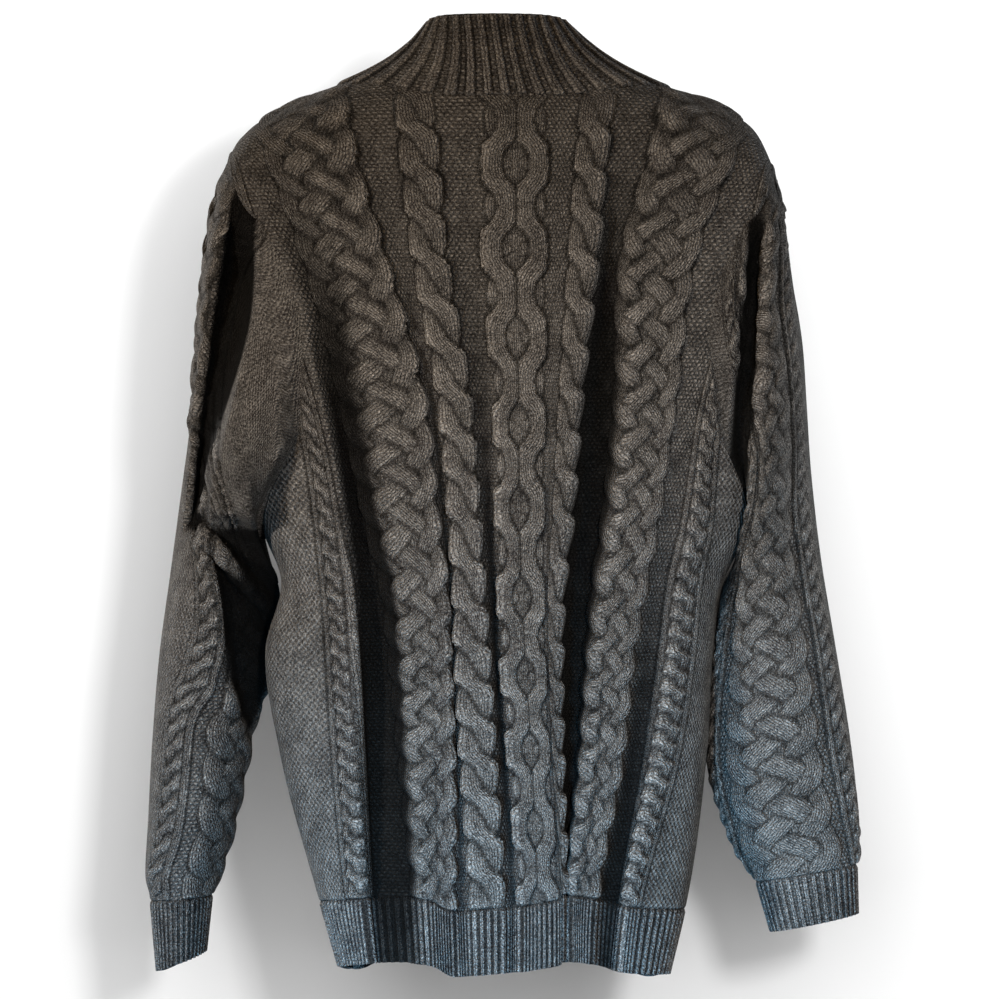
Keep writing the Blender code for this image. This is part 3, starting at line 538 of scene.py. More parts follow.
@dataclass(frozen=True)
class SleeveForm:
    """A hanging sleeve: a row for each section, from the armhole to the cuff's end."""

    hand: Hand
    # outer X and drop, inner X and drop, bow, reach behind and before, in millimetres
    sections: Rows
    # crease down the back: drop, X of the valley, half width, depth
    crease: Rows
    # turn of the pattern's centre line, in degrees, by row
    pattern_turn: Tuple[Tuple[float, float], ...]
    # small dips: row, turn, half rows, half turn, depth
    dips: Rows
    # lip of the lobe over the underarm: X, drop
    lobe: Rows = ()
    # hollow inside of the sleeve's ridge: drop, X of the ridge, depth
    hollow: Rows = ()
    # flap that crosses the hollow: X, drop, half its width, height
    flap: Rows = ()
    cuff_row: int = 11
    lobe_depth: float = 22 * MM
    lobe_lip: float = 10 * MM
    lobe_from: float = 180 * MM
    lobe_rise: float = 110 * MM
    lobe_overlap: float = 6 * MM
    ridge_width: float = 12 * MM
    # sine of the turn at which a lobe, or a hollow and its flap, has its full size
    lobe_turn: float = 0.6
    hollow_turn: float = 0.5
    crease_flatness: float = 3
    crease_steepness: float = 1.5
    crowding: float = 1.1
    # share of the sleeve over which it leaves the armhole's form, and its folds grow
    armhole_share: float = 0.24
    fold_share: float = 0.1

    def section(self, turn: Array, row: Array) -> Array:
        """Points of the plain sleeve.

        Args:
            turn: Angle that goes round from the outer line over the back.
            row: Row of the table of sections.

        Returns:
            The points.
        """
        rows = np.array(self.sections, float) * MM
        values = through(np.arange(len(rows)), rows, row)
        out_x, out_drop, in_x, in_drop, bow, back, front = np.moveaxis(values, -1, 0)
        cos, sin = np.cos(turn), np.sin(turn)
        x = (out_x + in_x) / 2 + (out_x - in_x) / 2 * cos + bow * sin * sin
        z = -(out_drop + in_drop) / 2 - (out_drop - in_drop) / 2 * cos
        y = (back + front) / 2 + (back - front) / 2 * sin
        return np.stack([self.hand.value * x, y, z], axis=-1)

    def folds(self, point: Array, turn: Array) -> Array:
        """How far the crease, the lobe, the hollow and its flap move the cloth in Y.

        Args:
            point: Points of the plain sleeve.
            turn: Angle round the sleeve at each.

        Returns:
            The move at each point, outwards where it is positive.
        """
        x, drop = point[..., 0] * self.hand.value, -point[..., 2]
        crease = np.array(self.crease, float) * MM
        valley = through(crease[:, 0], crease[:, 1:], drop)
        inside = (drop > crease[0, 0]) & (drop < crease[-1, 0]) & (np.sin(turn) > 0)
        away = np.clip((x - valley[..., 0]) / valley[..., 1], -1, 1)
        bowl = (1 - np.abs(away) ** self.crease_flatness) ** self.crease_steepness
        move = -np.where(inside, valley[..., 2] * bowl, 0.0)
        if self.lobe:
            move = move + self.lobe_move(x, drop, turn, valley[..., 0])
        if self.hollow:
            move = move - self.hollow_move(x, drop, turn)
        if self.flap:
            move = move + self.flap_move(x, drop, turn)
        return move

    def lobe_move(self, x: Array, drop: Array, turn: Array, valley: Array) -> Array:
        """How far the lobe of cloth stands out over the underarm.

        Args:
            x: X of each point, outwards.
            drop: Its depth below the neck seam.
            turn: Angle round the sleeve.
            valley: X of the crease, where the lobe ends.

        Returns:
            The height at each point.
        """
        lobe = np.array(self.lobe, float) * MM
        lip = through(lobe[:, 0], lobe[:, 1], x)
        above = ease((lip - drop) / self.lobe_lip) * ease((drop - self.lobe_from) / self.lobe_rise)
        inner = ease((valley + self.lobe_overlap - x) / self.ridge_width)
        return self.lobe_depth * above * (inner * ease(np.sin(turn) / self.lobe_turn))

    def hollow_move(self, x: Array, drop: Array, turn: Array) -> Array:
        """How deep the hollow under the lobe is.

        Args:
            x: X of each point, outwards.
            drop: Its depth below the neck seam.
            turn: Angle round the sleeve.

        Returns:
            The depth at each point.
        """
        hollow = np.array(self.hollow, float) * MM
        ridge = through(hollow[:, 0], hollow[:, 1:], drop)
        within = (drop > hollow[0, 0]) & (drop < hollow[-1, 0])
        behind = ease((ridge[..., 0] - x) / self.ridge_width)
        behind = behind * ease(np.sin(turn) / self.hollow_turn)
        return np.where(within, ridge[..., 1] * behind, 0.0)

    def flap_move(self, x: Array, drop: Array, turn: Array) -> Array:
        """How high the flap stands that crosses the hollow.

        Args:
            x: X of each point, outwards.
            drop: Its depth below the neck seam.
            turn: Angle round the sleeve.

        Returns:
            The height at each point.
        """
        flap = np.array(self.flap, float) * MM
        middle = through(flap[:, 0], flap[:, 1:], x)
        crossing = (x > flap[0, 0]) & (x < flap[-1, 0])
        away = np.clip((drop - middle[..., 0]) / middle[..., 1], -1, 1)
        raised = middle[..., 2] * (1 - away ** 2) ** 2
        return np.where(crossing, raised * ease(np.sin(turn) / self.hollow_turn), 0.0)

    def grid(self, body: BodyForm, columns: int, rows: int) -> Tuple[Array, Array, Array]:
        """Rows of points from the armhole to the cuff.

        Args:
            body: The body, whose armhole the sleeve starts from.
            columns: Points round the sleeve.
            rows: Rows down it.

        Returns:
            The points, and for each its turn and its section row.
        """
        turn = np.arange(columns) / columns * 2 * math.pi
        step = np.linspace(0, 1, rows)[:, None] ** self.crowding
        turns, row = np.broadcast_arrays(turn, step * self.cuff_row)
        ring = body.armhole(self.hand, turn)
        plain = self.section(turn, np.zeros(columns))
        point = self.section(turns, row)
        point = point + (ring - plain) * (1 - ease(step / self.armhole_share))[..., None]
        point[..., 1] += self.folds(point, turns) * ease(step / self.fold_share)
        for at, angle, tall, wide, depth in self.dips:
            down = (row - at) / tall
            away = (np.mod(np.degrees(turns) - angle + 180, 360) - 180) / wide
            push = depth * MM * np.exp(-down ** 2 - away ** 2)
            point[..., 0] -= push * np.cos(turns) * self.hand.value
            point[..., 1] -= push * np.sin(turns)
        return point, turns, row

    def cuff(self, columns: int, rows: int) -> Tuple[Array, Array, Array]:
        """Rows of points down the cuff, in the same form.

        Args:
            columns: Points round the cuff.
            rows: Rows down it.

        Returns:
            The points, and for each its turn and its section row.
        """
        turn = np.arange(columns) / columns * 2 * math.pi
        turns, row = np.broadcast_arrays(turn, self.cuff_row + np.linspace(0, 1, rows)[:, None])
        first = self.section(turns, np.full(row.shape, float(self.cuff_row)))
        last = self.section(turns, np.full(row.shape, self.cuff_row + 1.0))
        share = (row - self.cuff_row)[..., None]
        return first + (last - first) * share, turns, row


@dataclass(frozen=True)
class CollarForm:
    """The stand collar, rising from the neckline."""

    # the oval of its top edge: middle and half sizes in X and Y
    top_centre: Tuple[float, float] = (10.5 * MM, 3 * MM)
    top_half: Tuple[float, float] = (53.5 * MM, 55 * MM)
    top_back: float = 67 * MM
    top_fall: float = 62 * MM
    # how far its sides curve in, and its lines fall with them
    hollow: float = 5 * MM
    hollow_fall: float = 0.6

    def grid(self, body: BodyForm, columns: int, rows: int) -> Array:
        """Rows of points from the collar's top edge down to the neckline.

        Args:
            body: The body, whose neckline it starts from.
            columns: Points round the neck.
            rows: Rows down the collar.

        Returns:
            The points.
        """
        quarter = columns // 4
        near = np.linspace(body.zip_edge, body.neck_cloth, quarter + 1)
        across = np.linspace(body.neck_cloth, -body.neck_cloth, columns - 2 * quarter + 1)
        parts = []
        for side, cloth in ((Side.FRONT, near), (Side.BACK, across), (Side.FRONT, -near[::-1])):
            drop = body.top_drop(side, cloth)
            parts.append(body.point(side, body.narrowed(cloth, drop), drop))
        base = np.concatenate([parts[0][:-1], parts[1], parts[2][1:]])
        turn = np.arctan2(base[:, 0], base[:, 1] - self.top_centre[1])
        front = (1 - np.cos(turn)) / 2
        top = np.stack([self.top_centre[0] * (1 - front) + self.top_half[0] * np.sin(turn),
                        self.top_centre[1] + self.top_half[1] * np.cos(turn),
                        self.top_back - self.top_fall * front ** 3], axis=-1)
        top[0, 0], top[-1, 0] = base[0, 0], base[-1, 0]
        up = np.linspace(1, 0, rows)[:, None, None]
        point = base + (top - base) * up
        hollow = self.hollow * np.sin(math.pi * up[..., 0])
        point[..., 0] -= hollow * np.sin(turn)
        point[..., 2] -= hollow * self.hollow_fall * np.abs(np.sin(turn))
        return point


@dataclass
class Relief:
    """What the knitting does at each point of a grid, in metres and stitches."""

    height: Array
    across: Array
    along: Array
    # how much of each kind of stitch there is
    plain: Array
    purl: Array
    moss: Array
    # the ground's own count, which the inside follows
    ground_across: Array
    ground_along: Array
    # how deep the place lies in a fold, which sets the painted shade there
    sunk: Array
    # painted shade: how lit a place is painted, by its height and by how far it stands out of its
    # surroundings, and how dark a fold is painted
    smoothings: int = 3
    tallest: float = 5.5 * MM
    level_painted_light: float = 0.66
    tall_painted_light: float = 0.12
    stands_out: float = 2.0 * MM
    least_painted_light: float = 0.2
    fold_shade: float = 0.95
    # share of its height that the knitting keeps at a seam
    seam_height: float = 0.15

    @classmethod
    def ground(cls, across: Array, along: Array, stitch: float, row: float) -> "Relief":
        """Reverse stocking stitch all over, at no height.

        Args:
            across: Distance across the cloth.
            along: Distance down it.
            stitch: Width of a stitch, in the same unit.
            row: Height of a row.

        Returns:
            The knitting.
        """
        zero = np.zeros(across.shape)
        stitches, rows = across / stitch, along / row
        return cls(zero.copy(), stitches, rows, zero.copy(), zero + 1.0, zero.copy(),
                   stitches, rows, zero.copy())

    def smoothed(self, closed: bool) -> Array:
        """The height, evened out over a few neighbours.

        Args:
            closed: Whether the grid's last column meets its first.

        Returns:
            The even height.
        """
        near = self.height
        for _ in range(self.smoothings):
            for axis in (0, 1):
                ahead, behind = np.roll(near, -1, axis), np.roll(near, 1, axis)
                if axis == 0:
                    behind[0], ahead[-1] = near[0], near[-1]
                elif not closed:
                    behind[:, 0], ahead[:, -1] = near[:, 0], near[:, -1]
                near = (ahead + behind + 2 * near) / 4
        return near

    def open(self, closed: bool) -> Array:
        """Painted shade for the wool's colour: 0, darkest, in the folds and between strands, 1 on
        their tops.

        Args:
            closed: Whether the grid's last column meets its first.

        Returns:
            The painted light of each place, which darkens the colour.
        """
        tall = np.clip(self.height / self.tallest, 0, 1)
        out = (self.height - self.smoothed(closed)) / self.stands_out
        top = np.clip(self.level_painted_light + self.tall_painted_light * tall + out, self.least_painted_light, 1)
        return top * (1 - self.fold_shade * ease(self.sunk / FOLD_DARK))

    def settle(self, gap: Array, reach: float) -> None:
        """Let the knitting sink towards a seam.

        Args:
            gap: Distance from the seam.
            reach: How far from the seam it stands at its full height.
        """
        risen = ease(gap / reach)
        self.height = self.height * (self.seam_height + (1 - self.seam_height) * risen)

    def lay(self, height: Array, across: Array, along: Array) -> None:
        """Lay a strand of stocking stitch wherever it stands highest.

        Args:
            height: The strand's height.
            across: Stitches across it.
            along: Rows along it.
        """
        over = height > self.height
        self.height = np.where(over, height, self.height)
        self.across = np.where(over, across, self.across)
        self.along = np.where(over, along, self.along)
        self.plain = np.where(over, 1.0, self.plain)
        self.purl = np.where(over, 0.0, self.purl)
        self.moss = np.where(over, 0.0, self.moss)


@dataclass(frozen=True)
class Strand:
    """A strand of stocking stitch: half its width, its top and how far its sides fall, in mm."""

    half: float
    top: float
    fall: float


@dataclass(frozen=True)
class Rope:
    """A two-strand rope, in mm: from crossing to crossing, its swing, lift and strand."""

    cross: float
    swing: float
    lift: float
    strand: Strand


@dataclass(frozen=True)
class Ribbing:
    """Ribbing: from rib to rib and a rib's height, in mm, and the raised share of the pitch."""

    pitch: float
    top: float
    knit: float


@dataclass(frozen=True)
class Knitting:
    """The stitch patterns, by distance across the cloth and down it, in millimetres."""

    stitch: float = 4.3
    row: float = 3.1
    roundness: float = 3.2
    main_rope: Rope = Rope(34.0, 6.2, 1.8, Strand(8.6, 3.7, 2.8))
    small_rope: Rope = Rope(16.6, 4.4, 1.5, Strand(5.0, 3.6, 2.6))
    # how much a crossing is drawn together along the rope
    rope_pinch: float = 0.7
    link_pinch: float = 0.5
    chain_bed: Strand = Strand(15.0, 1.3, 1.0)
    chain_half: float = 14.0
    chain_swing: float = 6.2
    # half width of the chain's strand that passes over, and of the one under it
    chain_over: float = 9.2
    chain_under: float = 6.8
    chain_top: float = 2.5
    chain_step: float = 0.6
    chain_lift: float = 1.44
    plait_bed: Strand = Strand(29.0, 2.0, 1.8)
    plait_strand: Strand = Strand(8.5, 3.1, 2.7)
    plait_strands: int = 5
    plait_swing: float = 25.5
    plait_lift: float = 1.4
    plait_turn: float = 165.0
    line: Strand = Strand(3.4, 2.3, 1.9)
    moss_top: float = 1.2
    # how far a rib's edge is under the ground between ribs
    rib_sunk: float = 0.02
    # the body's columns, from its middle; some crossings are moved up or down
    body_rope: float = 70.0
    body_rope_shift: float = 9.0
    body_plait: float = 145.0
    body_plait_shift: float = 8.0
    body_border: Tuple[float, ...] = (209.5, 222.0, 234.5)
    body_moss: float = 238.5
    # the sleeve's columns, from its pattern's middle
    sleeve_plait_width: float = 1.22
    sleeve_border: Tuple[float, ...] = (53.5, 66.0, 78.5)
    sleeve_moss: float = 82.5

    def lay_strand(self, relief: Relief, x: Array, v: Array, strand: Strand,
                   centre: Array, slope: Array, top: Array) -> None:
        """Lay one strand of stocking stitch.

        Args:
            relief: The knitting it is laid on.
            x: Distance across the cloth.
            v: Distance down the cloth.
            strand: Its half width, square to its run, and how far its sides fall.
            centre: Its middle line at each distance down.
            slope: How fast the middle line moves sideways.
            top: Height of its middle.
        """
        lean = np.sqrt(1 + slope ** 2)
        off = (x - centre) / lean
        side = np.clip(np.abs(off) / strand.half, 0, 1)
        height = top - strand.fall * (1 - np.sqrt(1 - side ** self.roundness))
        height = np.where(np.abs(off) < strand.half, height, -1.0)
        stitches = max(1, round(2 * strand.half / self.stitch))
        along = v + off * slope / lean
        relief.lay(height * MM, off / (2 * strand.half) * stitches + 0.5 * (stitches % 2),
                   along / self.row)

    def lay_straight(self, relief: Relief, x: Array, v: Array, strand: Strand) -> None:
        """Lay a strand that runs straight down."""
        flat = np.zeros(x.shape)
        self.lay_strand(relief, x, v, strand, flat, flat, flat + strand.top)

    def pinched(self, t: Array, pinch: float, cross: float) -> Tuple[Array, Array]:
        """Progress of a strand, slower beside its crossings than between them.

        Args:
            t: Distance down in crossings.
            pinch: How uneven the progress is.
            cross: From one crossing to the next.

        Returns:
            The progress in crossings, and its pace by distance.
        """
        turn = 2 * math.pi * t
        return t - pinch * np.sin(turn) / (2 * math.pi), (1 - pinch * np.cos(turn)) / cross

    def rope(self, relief: Relief, x: Array, v: Array, rope: Rope) -> None:
        """Lay a rope; the strand running towards -x as it goes down lies on top.

        Args:
            relief: The knitting it is laid on.
            x: Distance across the cloth, from its middle.
            v: Distance down the cloth.
            rope: Its sizes.
        """
        t = v / rope.cross
        done, pace = self.pinched(t, self.rope_pinch, rope.cross)
        for sign in (1, -1):
            centre = sign * rope.swing * np.cos(math.pi * done)
            slope = -sign * rope.swing * math.pi * np.sin(math.pi * done) * pace
            height = (rope.strand.top - rope.lift + sign * rope.lift * np.sin(math.pi * t)
                      + rope.lift * 0.5)
            self.lay_strand(relief, x, v, rope.strand, centre, slope, height)

    def chain(self, relief: Relief, x: Array, v: Array) -> None:
        """Lay mirrored half cables that open and close as a chain of links.

        Args:
            relief: The knitting they are laid on.
            x: Distance across the cloth, from the chain's middle.
            v: Distance down the cloth.
        """
        cross = self.main_rope.cross
        t = v / cross
        done, pace = self.pinched(t, self.link_pinch, cross)
        lift = self.chain_lift * np.abs(np.sin(math.pi * t))
        self.lay_straight(relief, x, v, self.chain_bed)
        for half in (1, -1):
            for over, width in ((1, self.chain_over), (-1, self.chain_under)):
                swing = over * self.chain_swing
                centre = half * (self.chain_half - swing * np.cos(math.pi * done))
                slope = half * swing * math.pi * np.sin(math.pi * done) * pace
                height = self.chain_top + over * (self.chain_step + lift)
                strand = Strand(width, self.chain_top, self.main_rope.strand.fall)
                self.lay_strand(relief, x, v, strand, centre, slope, height)

    def plait(self, relief: Relief, x: Array, v: Array, width: float = 1.0) -> None:
        """Lay a plait whose strands weave over and under in turn, on a full bed.

        Args:
            relief: The knitting it is laid on.
            x: Distance across the cloth, from its middle.
            v: Distance down the cloth.
            width: How much wider than the body's plaits it is.
        """
        bed, strand = (Strand(one.half * width, one.top, one.fall)
                       for one in (self.plait_bed, self.plait_strand))
        swing = self.plait_swing * width
        self.lay_straight(relief, x, v, bed)
        for k in range(self.plait_strands):
            turn = 2 * math.pi * (v / self.plait_turn + k / self.plait_strands)
            slope = swing * np.cos(turn) * 2 * math.pi / self.plait_turn
            height = strand.top + self.plait_lift * np.sin((self.plait_strands - 1) * turn)
            self.lay_strand(relief, x, v, strand, swing * np.sin(turn), slope, height)

    def border(self, relief: Relief, x: Array, v: Array,
               places: Tuple[float, ...]) -> None:
        """Lay a small rope, like a row of beads, between two narrow raised lines.

        Args:
            relief: The knitting they are laid on.
            x: Distance across the cloth.
            v: Distance down the cloth.
            places: Where the first line, the rope and the second line stand.
        """
        first, middle, last = places
        self.lay_straight(relief, x - first, v, self.line)
        self.rope(relief, x - middle, v, self.small_rope)
        self.lay_straight(relief, x - last, v, self.line)

    def moss_at(self, relief: Relief, where: Array) -> None:
        """Work moss stitch over part of the ground.

        Args:
            relief: The knitting.
            where: Whether each point may be moss stitch.
        """
        bare = (relief.plain < 0.5) & where
        relief.height = np.where(bare, self.moss_top * MM, relief.height)
        relief.moss = np.where(bare, 1.0, relief.moss)
        relief.purl = np.where(bare, 0.0, relief.purl)

    def body(self, column: Array, down: Array) -> Relief:
        """The body's panels, the same on each side of the middle.

        Args:
            column: Knit column in metres, from the middle of the garment.
            down: Distance down the cloth in metres.

        Returns:
            The knitting there.
        """
        x, v = column / MM, down / MM
        relief = Relief.ground(x, v, self.stitch, self.row)
        self.chain(relief, x, v)
        for hand in (1, -1):
            self.rope(relief, x - hand * self.body_rope, v + self.body_rope_shift, self.main_rope)
            self.plait(relief, x - hand * self.body_plait, v + self.body_plait_shift * hand)
            self.border(relief, x, v, tuple(hand * place for place in self.body_border))
        self.moss_at(relief, np.abs(x) > self.body_moss)
        return relief

    def sleeve(self, across: Array, down: Array) -> Relief:
        """A sleeve.

        Args:
            across: Distance from the pattern's middle line, in metres.
            down: Distance down the cloth in metres.

        Returns:
            The knitting there.
        """
        x, v = across / MM, down / MM
        relief = Relief.ground(x, v, self.stitch, self.row)
        self.plait(relief, x, v, self.sleeve_plait_width)
        for hand in (1, -1):
            self.border(relief, x, v, tuple(hand * place for place in self.sleeve_border))
        self.moss_at(relief, np.abs(x) > self.sleeve_moss)
        return relief

    def rib(self, across: Array, down: Array, ribbing: Ribbing) -> Relief:
        """Ribbing.

        Args:
            across: Distance across the ribs in metres.
            down: Distance down them in metres.
            ribbing: Its sizes.

        Returns:
            The knitting there.
        """
        x, v = across / MM, down / MM
        relief = Relief.ground(x, v, self.stitch, self.row)
        width = ribbing.pitch * ribbing.knit
        off = np.mod(x, ribbing.pitch) - ribbing.pitch / 2
        side = np.clip(np.abs(off) / (width / 2), 0, 1)
        stitches = max(1, round(width / self.stitch))
        height = ribbing.top * np.sqrt(1 - side ** 2) - self.rib_sunk
        relief.lay(height * MM, off / width * stitches + 0.5 * (stitches % 2), v / self.row)
        return relief


class Values:
    """Short calls for the value nodes of a material."""

    def __init__(self, tree: bpy.types.NodeTree) -> None:
        """Work in one node tree."""
        self.tree = tree

    def node(self, kind: str, **settings: object) -> bpy.types.Node:
        """Add a node.

        Args:
            kind: Its type.
            settings: Its own settings, by name.

        Returns:
            The node.
        """
        made = self.tree.nodes.new(kind)
        for key, value in settings.items():
            setattr(made, key, value)
        return made

    def link(self, source: Socket, target: Socket) -> None:
        """Join two sockets."""
        self.tree.links.new(source, target)

    def maths(self, operation: str, *inputs: object) -> Socket:
        """A value worked out from sockets and numbers.

        Args:
            operation: The Math node's operation.
            inputs: Sockets or numbers.

        Returns:
            The value's socket.
        """
        made = self.node("ShaderNodeMath", operation=operation)
        for socket, value in zip(made.inputs, inputs):
            if isinstance(value, (int, float)):
                socket.default_value = value
            else:
                self.link(value, socket)
        return made.outputs[0]

    def noise(self, vector: Socket, scale: float, detail: float, rough: float = 0.6) -> Socket:
        """A noise value on a coordinate.

        Args:
            vector: The coordinate.
            scale: How fine the noise is.
            detail: How many finer layers it has.
            rough: How strong the finer layers are.

        Returns:
            The value's socket.
        """
        made = self.node("ShaderNodeTexNoise")
        made.inputs["Scale"].default_value = scale
        made.inputs["Detail"].default_value = detail
        made.inputs["Roughness"].default_value = rough
        self.link(vector, made.inputs["Vector"])
        return made.outputs[0]

    def ramp(self, value: Socket, stops: Sequence[Tuple[float, Colour]]) -> Socket:
        """A colour read from stops along a value.

        Args:
            value: The value.
            stops: Where each colour stands, rising.

        Returns:
            The colour's socket.
        """
        made = self.node("ShaderNodeValToRGB")
        elements = made.color_ramp.elements
        while len(elements) < len(stops):
            elements.new(0.5)
        for element, (at, colour) in zip(elements, stops):
            element.position = at
            element.color = (*colour, 1.0)
        self.link(value, made.inputs[0])
        return made.outputs[0]

    def bump(self, height: Socket, strength: float, depth: float, shader: bpy.types.Node) -> None:
        """Give a shader's surface a fine relief.

        Args:
            height: The relief, where 1 stands for its full depth.
            strength: How much of it shows.
            depth: Its depth in metres.
            shader: The shader.
        """
        made = self.node("ShaderNodeBump")
        made.inputs["Strength"].default_value = strength
        made.inputs["Distance"].default_value = depth
        self.link(height, made.inputs["Height"])
        self.link(made.outputs[0], shader.inputs["Normal"])


def blank_material(name: str) -> Tuple[bpy.types.Material, Values, bpy.types.Node]:
    """Start a material.

    Args:
        name: Its name.

    Returns:
        The material, its value nodes and its shader.
    """
    made = bpy.data.materials.new(name)
    made.use_nodes = True
    return made, Values(made.node_tree), made.node_tree.nodes["Principled BSDF"]


@dataclass(frozen=True)
class WoolFinish:
    """Marled wool whose stitches follow the knitting's own coordinates."""

    name: str
    dark: Colour = (0.022, 0.021, 0.021)
    middle: Colour = (0.076, 0.073, 0.071)
    light: Colour = (0.17, 0.166, 0.162)
    # where the three colours stand along the marl, and what the marl is mixed from
    marl_stops: Tuple[float, float, float] = (0.42, 0.55, 0.70)
    cloud_share: float = 0.25
    fleck_share: float = 0.85
    # how fine each noise is
    cloud_scale: float = 60.0
    sway_scale: float = 230.0
    pull_scale: float = 310.0
    fleck_scale: float = 760.0
    fuzz_scale: float = 900.0
    # how far the noises move a stitch across and along, in stitches and rows
    sway: float = 0.55
    pull: float = 0.8
    # stocking stitch: roundness and slant of a leg, and how far it is nipped at each row
    leg_roundness: float = 2.5
    leg_slant: float = 1.3
    leg_nip: float = 0.3
    # reverse side: a loop's height between its ends and above them
    loop_base: float = 0.15
    loop_height: float = 1.1
    stitch_depth: float = 1.6 * MM
    fuzz: float = 0.35
    # painted light and shade in the base colour: between stitches and on them, and deep in a fold
    # and out of it
    between_light: float = 0.38
    stitch_light: float = 0.65
    fold_light: float = 0.01
    open_light: float = 1.15
    rough: float = 0.95
    specular: float = 0.02
    sheen: float = 0.004
    sheen_rough: float = 0.6

    def legs(self, v: Values, across: Socket, along: Socket) -> Socket:
        """Stocking stitch: two slanted legs to each stitch.

        Args:
            v: The material's value nodes.
            across: Stitches across the knitting.
            along: Rows along it.

        Returns:
            Its height.
        """
        off = v.maths("ABSOLUTE", v.maths("SUBTRACT", v.maths("FRACT", across), 0.5))
        leg = v.maths("SUBTRACT", v.maths("MULTIPLY", off, 4.0), 1.0)
        leg = v.maths("POWER", v.maths("ABSOLUTE", leg), self.leg_roundness)
        leg = v.maths("SUBTRACT", 1.0, leg)
        slant = v.maths("MULTIPLY_ADD", off, self.leg_slant, along)
        stroke = v.maths("COSINE", v.maths("MULTIPLY", slant, 2 * math.pi))
        stroke = v.maths("MULTIPLY_ADD", stroke, self.leg_nip, 1 - self.leg_nip)
        return v.maths("MULTIPLY", leg, stroke)

    def loops(self, v: Values, across: Socket, along: Socket) -> Socket:
        """Reverse side: loops, staggered from row to row.

        Args:
            v: The material's value nodes.
            across: Stitches across the knitting.
            along: Rows along it.

        Returns:
            Its height.
        """
        shifted = v.maths("MULTIPLY_ADD", v.maths("FLOOR", along), 0.5, across)
        loop = v.maths("COSINE", v.maths("MULTIPLY", shifted, 2 * math.pi))
        loop = v.maths("MULTIPLY_ADD", loop, 0.5, 0.5)
        loop = v.maths("MULTIPLY_ADD", loop, self.loop_height, self.loop_base)
        lie = v.maths("SINE", v.maths("MULTIPLY", v.maths("FRACT", along), math.pi))
        return v.maths("MULTIPLY", loop, lie)

    def bumps(self, v: Values, across: Socket, along: Socket) -> Socket:
        """Moss stitch: bumps on every other place.

        Args:
            v: The material's value nodes.
            across: Stitches across the knitting.
            along: Rows along it.

        Returns:
            Its height.
        """
        wave_x = v.maths("COSINE", v.maths("MULTIPLY", across, 2 * math.pi))
        wave_y = v.maths("COSINE", v.maths("MULTIPLY", along, math.pi))
        return v.maths("MULTIPLY_ADD", v.maths("MULTIPLY", wave_x, wave_y), 0.5, 0.5)

    def marl(self, v: Values, place: Socket) -> Socket:
        """The yarn's flecked colour.

        Args:
            v: The material's value nodes.
            place: Place on the object.

        Returns:
            The colour.
        """
        fleck = v.noise(place, self.fleck_scale, 2.0, 0.7)
        cloud = v.noise(place, self.cloud_scale, 2.0)
        value = v.maths("MULTIPLY_ADD", cloud, self.cloud_share,
                        v.maths("MULTIPLY", fleck, self.fleck_share))
        return v.ramp(value, tuple(zip(self.marl_stops, (self.dark, self.middle, self.light))))

    def material(self) -> bpy.types.Material:
        """Make the material.

        Returns:
            The material, for meshes with the "knit" UV map and the "weave" colours.
        """
        made, v, shader = blank_material(self.name)
        split = v.node("ShaderNodeSeparateXYZ")
        v.link(v.node("ShaderNodeUVMap", uv_map="knit").outputs[0], split.inputs[0])
        place = v.node("ShaderNodeTexCoord").outputs["Object"]
        sway = v.maths("SUBTRACT", v.noise(place, self.sway_scale, 1.0), 0.5)
        pull = v.maths("SUBTRACT", v.noise(place, self.pull_scale, 1.0), 0.5)
        across = v.maths("MULTIPLY_ADD", sway, self.sway, split.outputs[0])
        along = v.maths("MULTIPLY_ADD", pull, self.pull, split.outputs[1])
        # the colours hold how much of each stitch there is, and in alpha how lit the place is
        # painted
        weave = v.node("ShaderNodeAttribute", attribute_name="weave")
        kinds = v.node("ShaderNodeSeparateColor")
        v.link(weave.outputs["Color"], kinds.inputs[0])
        stitches = v.maths("MULTIPLY", self.legs(v, across, along), kinds.outputs[0])
        stitches = v.maths("MULTIPLY_ADD", self.loops(v, across, along), kinds.outputs[1],
                           stitches)
        stitches = v.maths("MULTIPLY_ADD", self.bumps(v, across, along), kinds.outputs[2],
                           stitches)
        fuzz = v.noise(place, self.fuzz_scale, 2.0)
        v.bump(v.maths("MULTIPLY_ADD", fuzz, self.fuzz, stitches), 1.0, self.stitch_depth, shader)

        # painted shade: the base colour is darkened between stitches, and by the alpha between
        # strands and deep in the folds
        near = v.maths("MULTIPLY_ADD", stitches, self.stitch_light, self.between_light)
        deep = v.maths("MULTIPLY_ADD", weave.outputs["Alpha"], self.open_light, self.fold_light)
        scaled = v.node("ShaderNodeVectorMath", operation="SCALE")
        v.link(self.marl(v, place), scaled.inputs[0])
        v.link(v.maths("MULTIPLY", near, deep), scaled.inputs["Scale"])
        v.link(scaled.outputs[0], shader.inputs["Base Color"])
        shader.inputs["Roughness"].default_value = self.rough
        shader.inputs["Specular IOR Level"].default_value = self.specular
        shader.inputs["Sheen Weight"].default_value = self.sheen
        shader.inputs["Sheen Roughness"].default_value = self.sheen_rough
        return made


@dataclass(frozen=True)
class TapeFinish:
    """Black woven tape."""

    name: str
    colour: Colour = (0.016, 0.016, 0.018)
    rough: float = 0.8
    rib_pitch: float = 0.9 * MM
    rib_depth: float = 0.15 * MM
    rib_strength: float = 0.6

    def material(self) -> bpy.types.Material:
        """Make the material.

        Returns:
            The material.
        """
        made, v, shader = blank_material(self.name)
        split = v.node("ShaderNodeSeparateXYZ")
        v.link(v.node("ShaderNodeTexCoord").outputs["Object"], split.inputs[0])
        ribs = v.maths("MULTIPLY", split.outputs[2], 2 * math.pi / self.rib_pitch)
        v.bump(v.maths("SINE", ribs), self.rib_strength, self.rib_depth, shader)
        shader.inputs["Base Color"].default_value = (*self.colour, 1.0)
        shader.inputs["Roughness"].default_value = self.rough
        return made


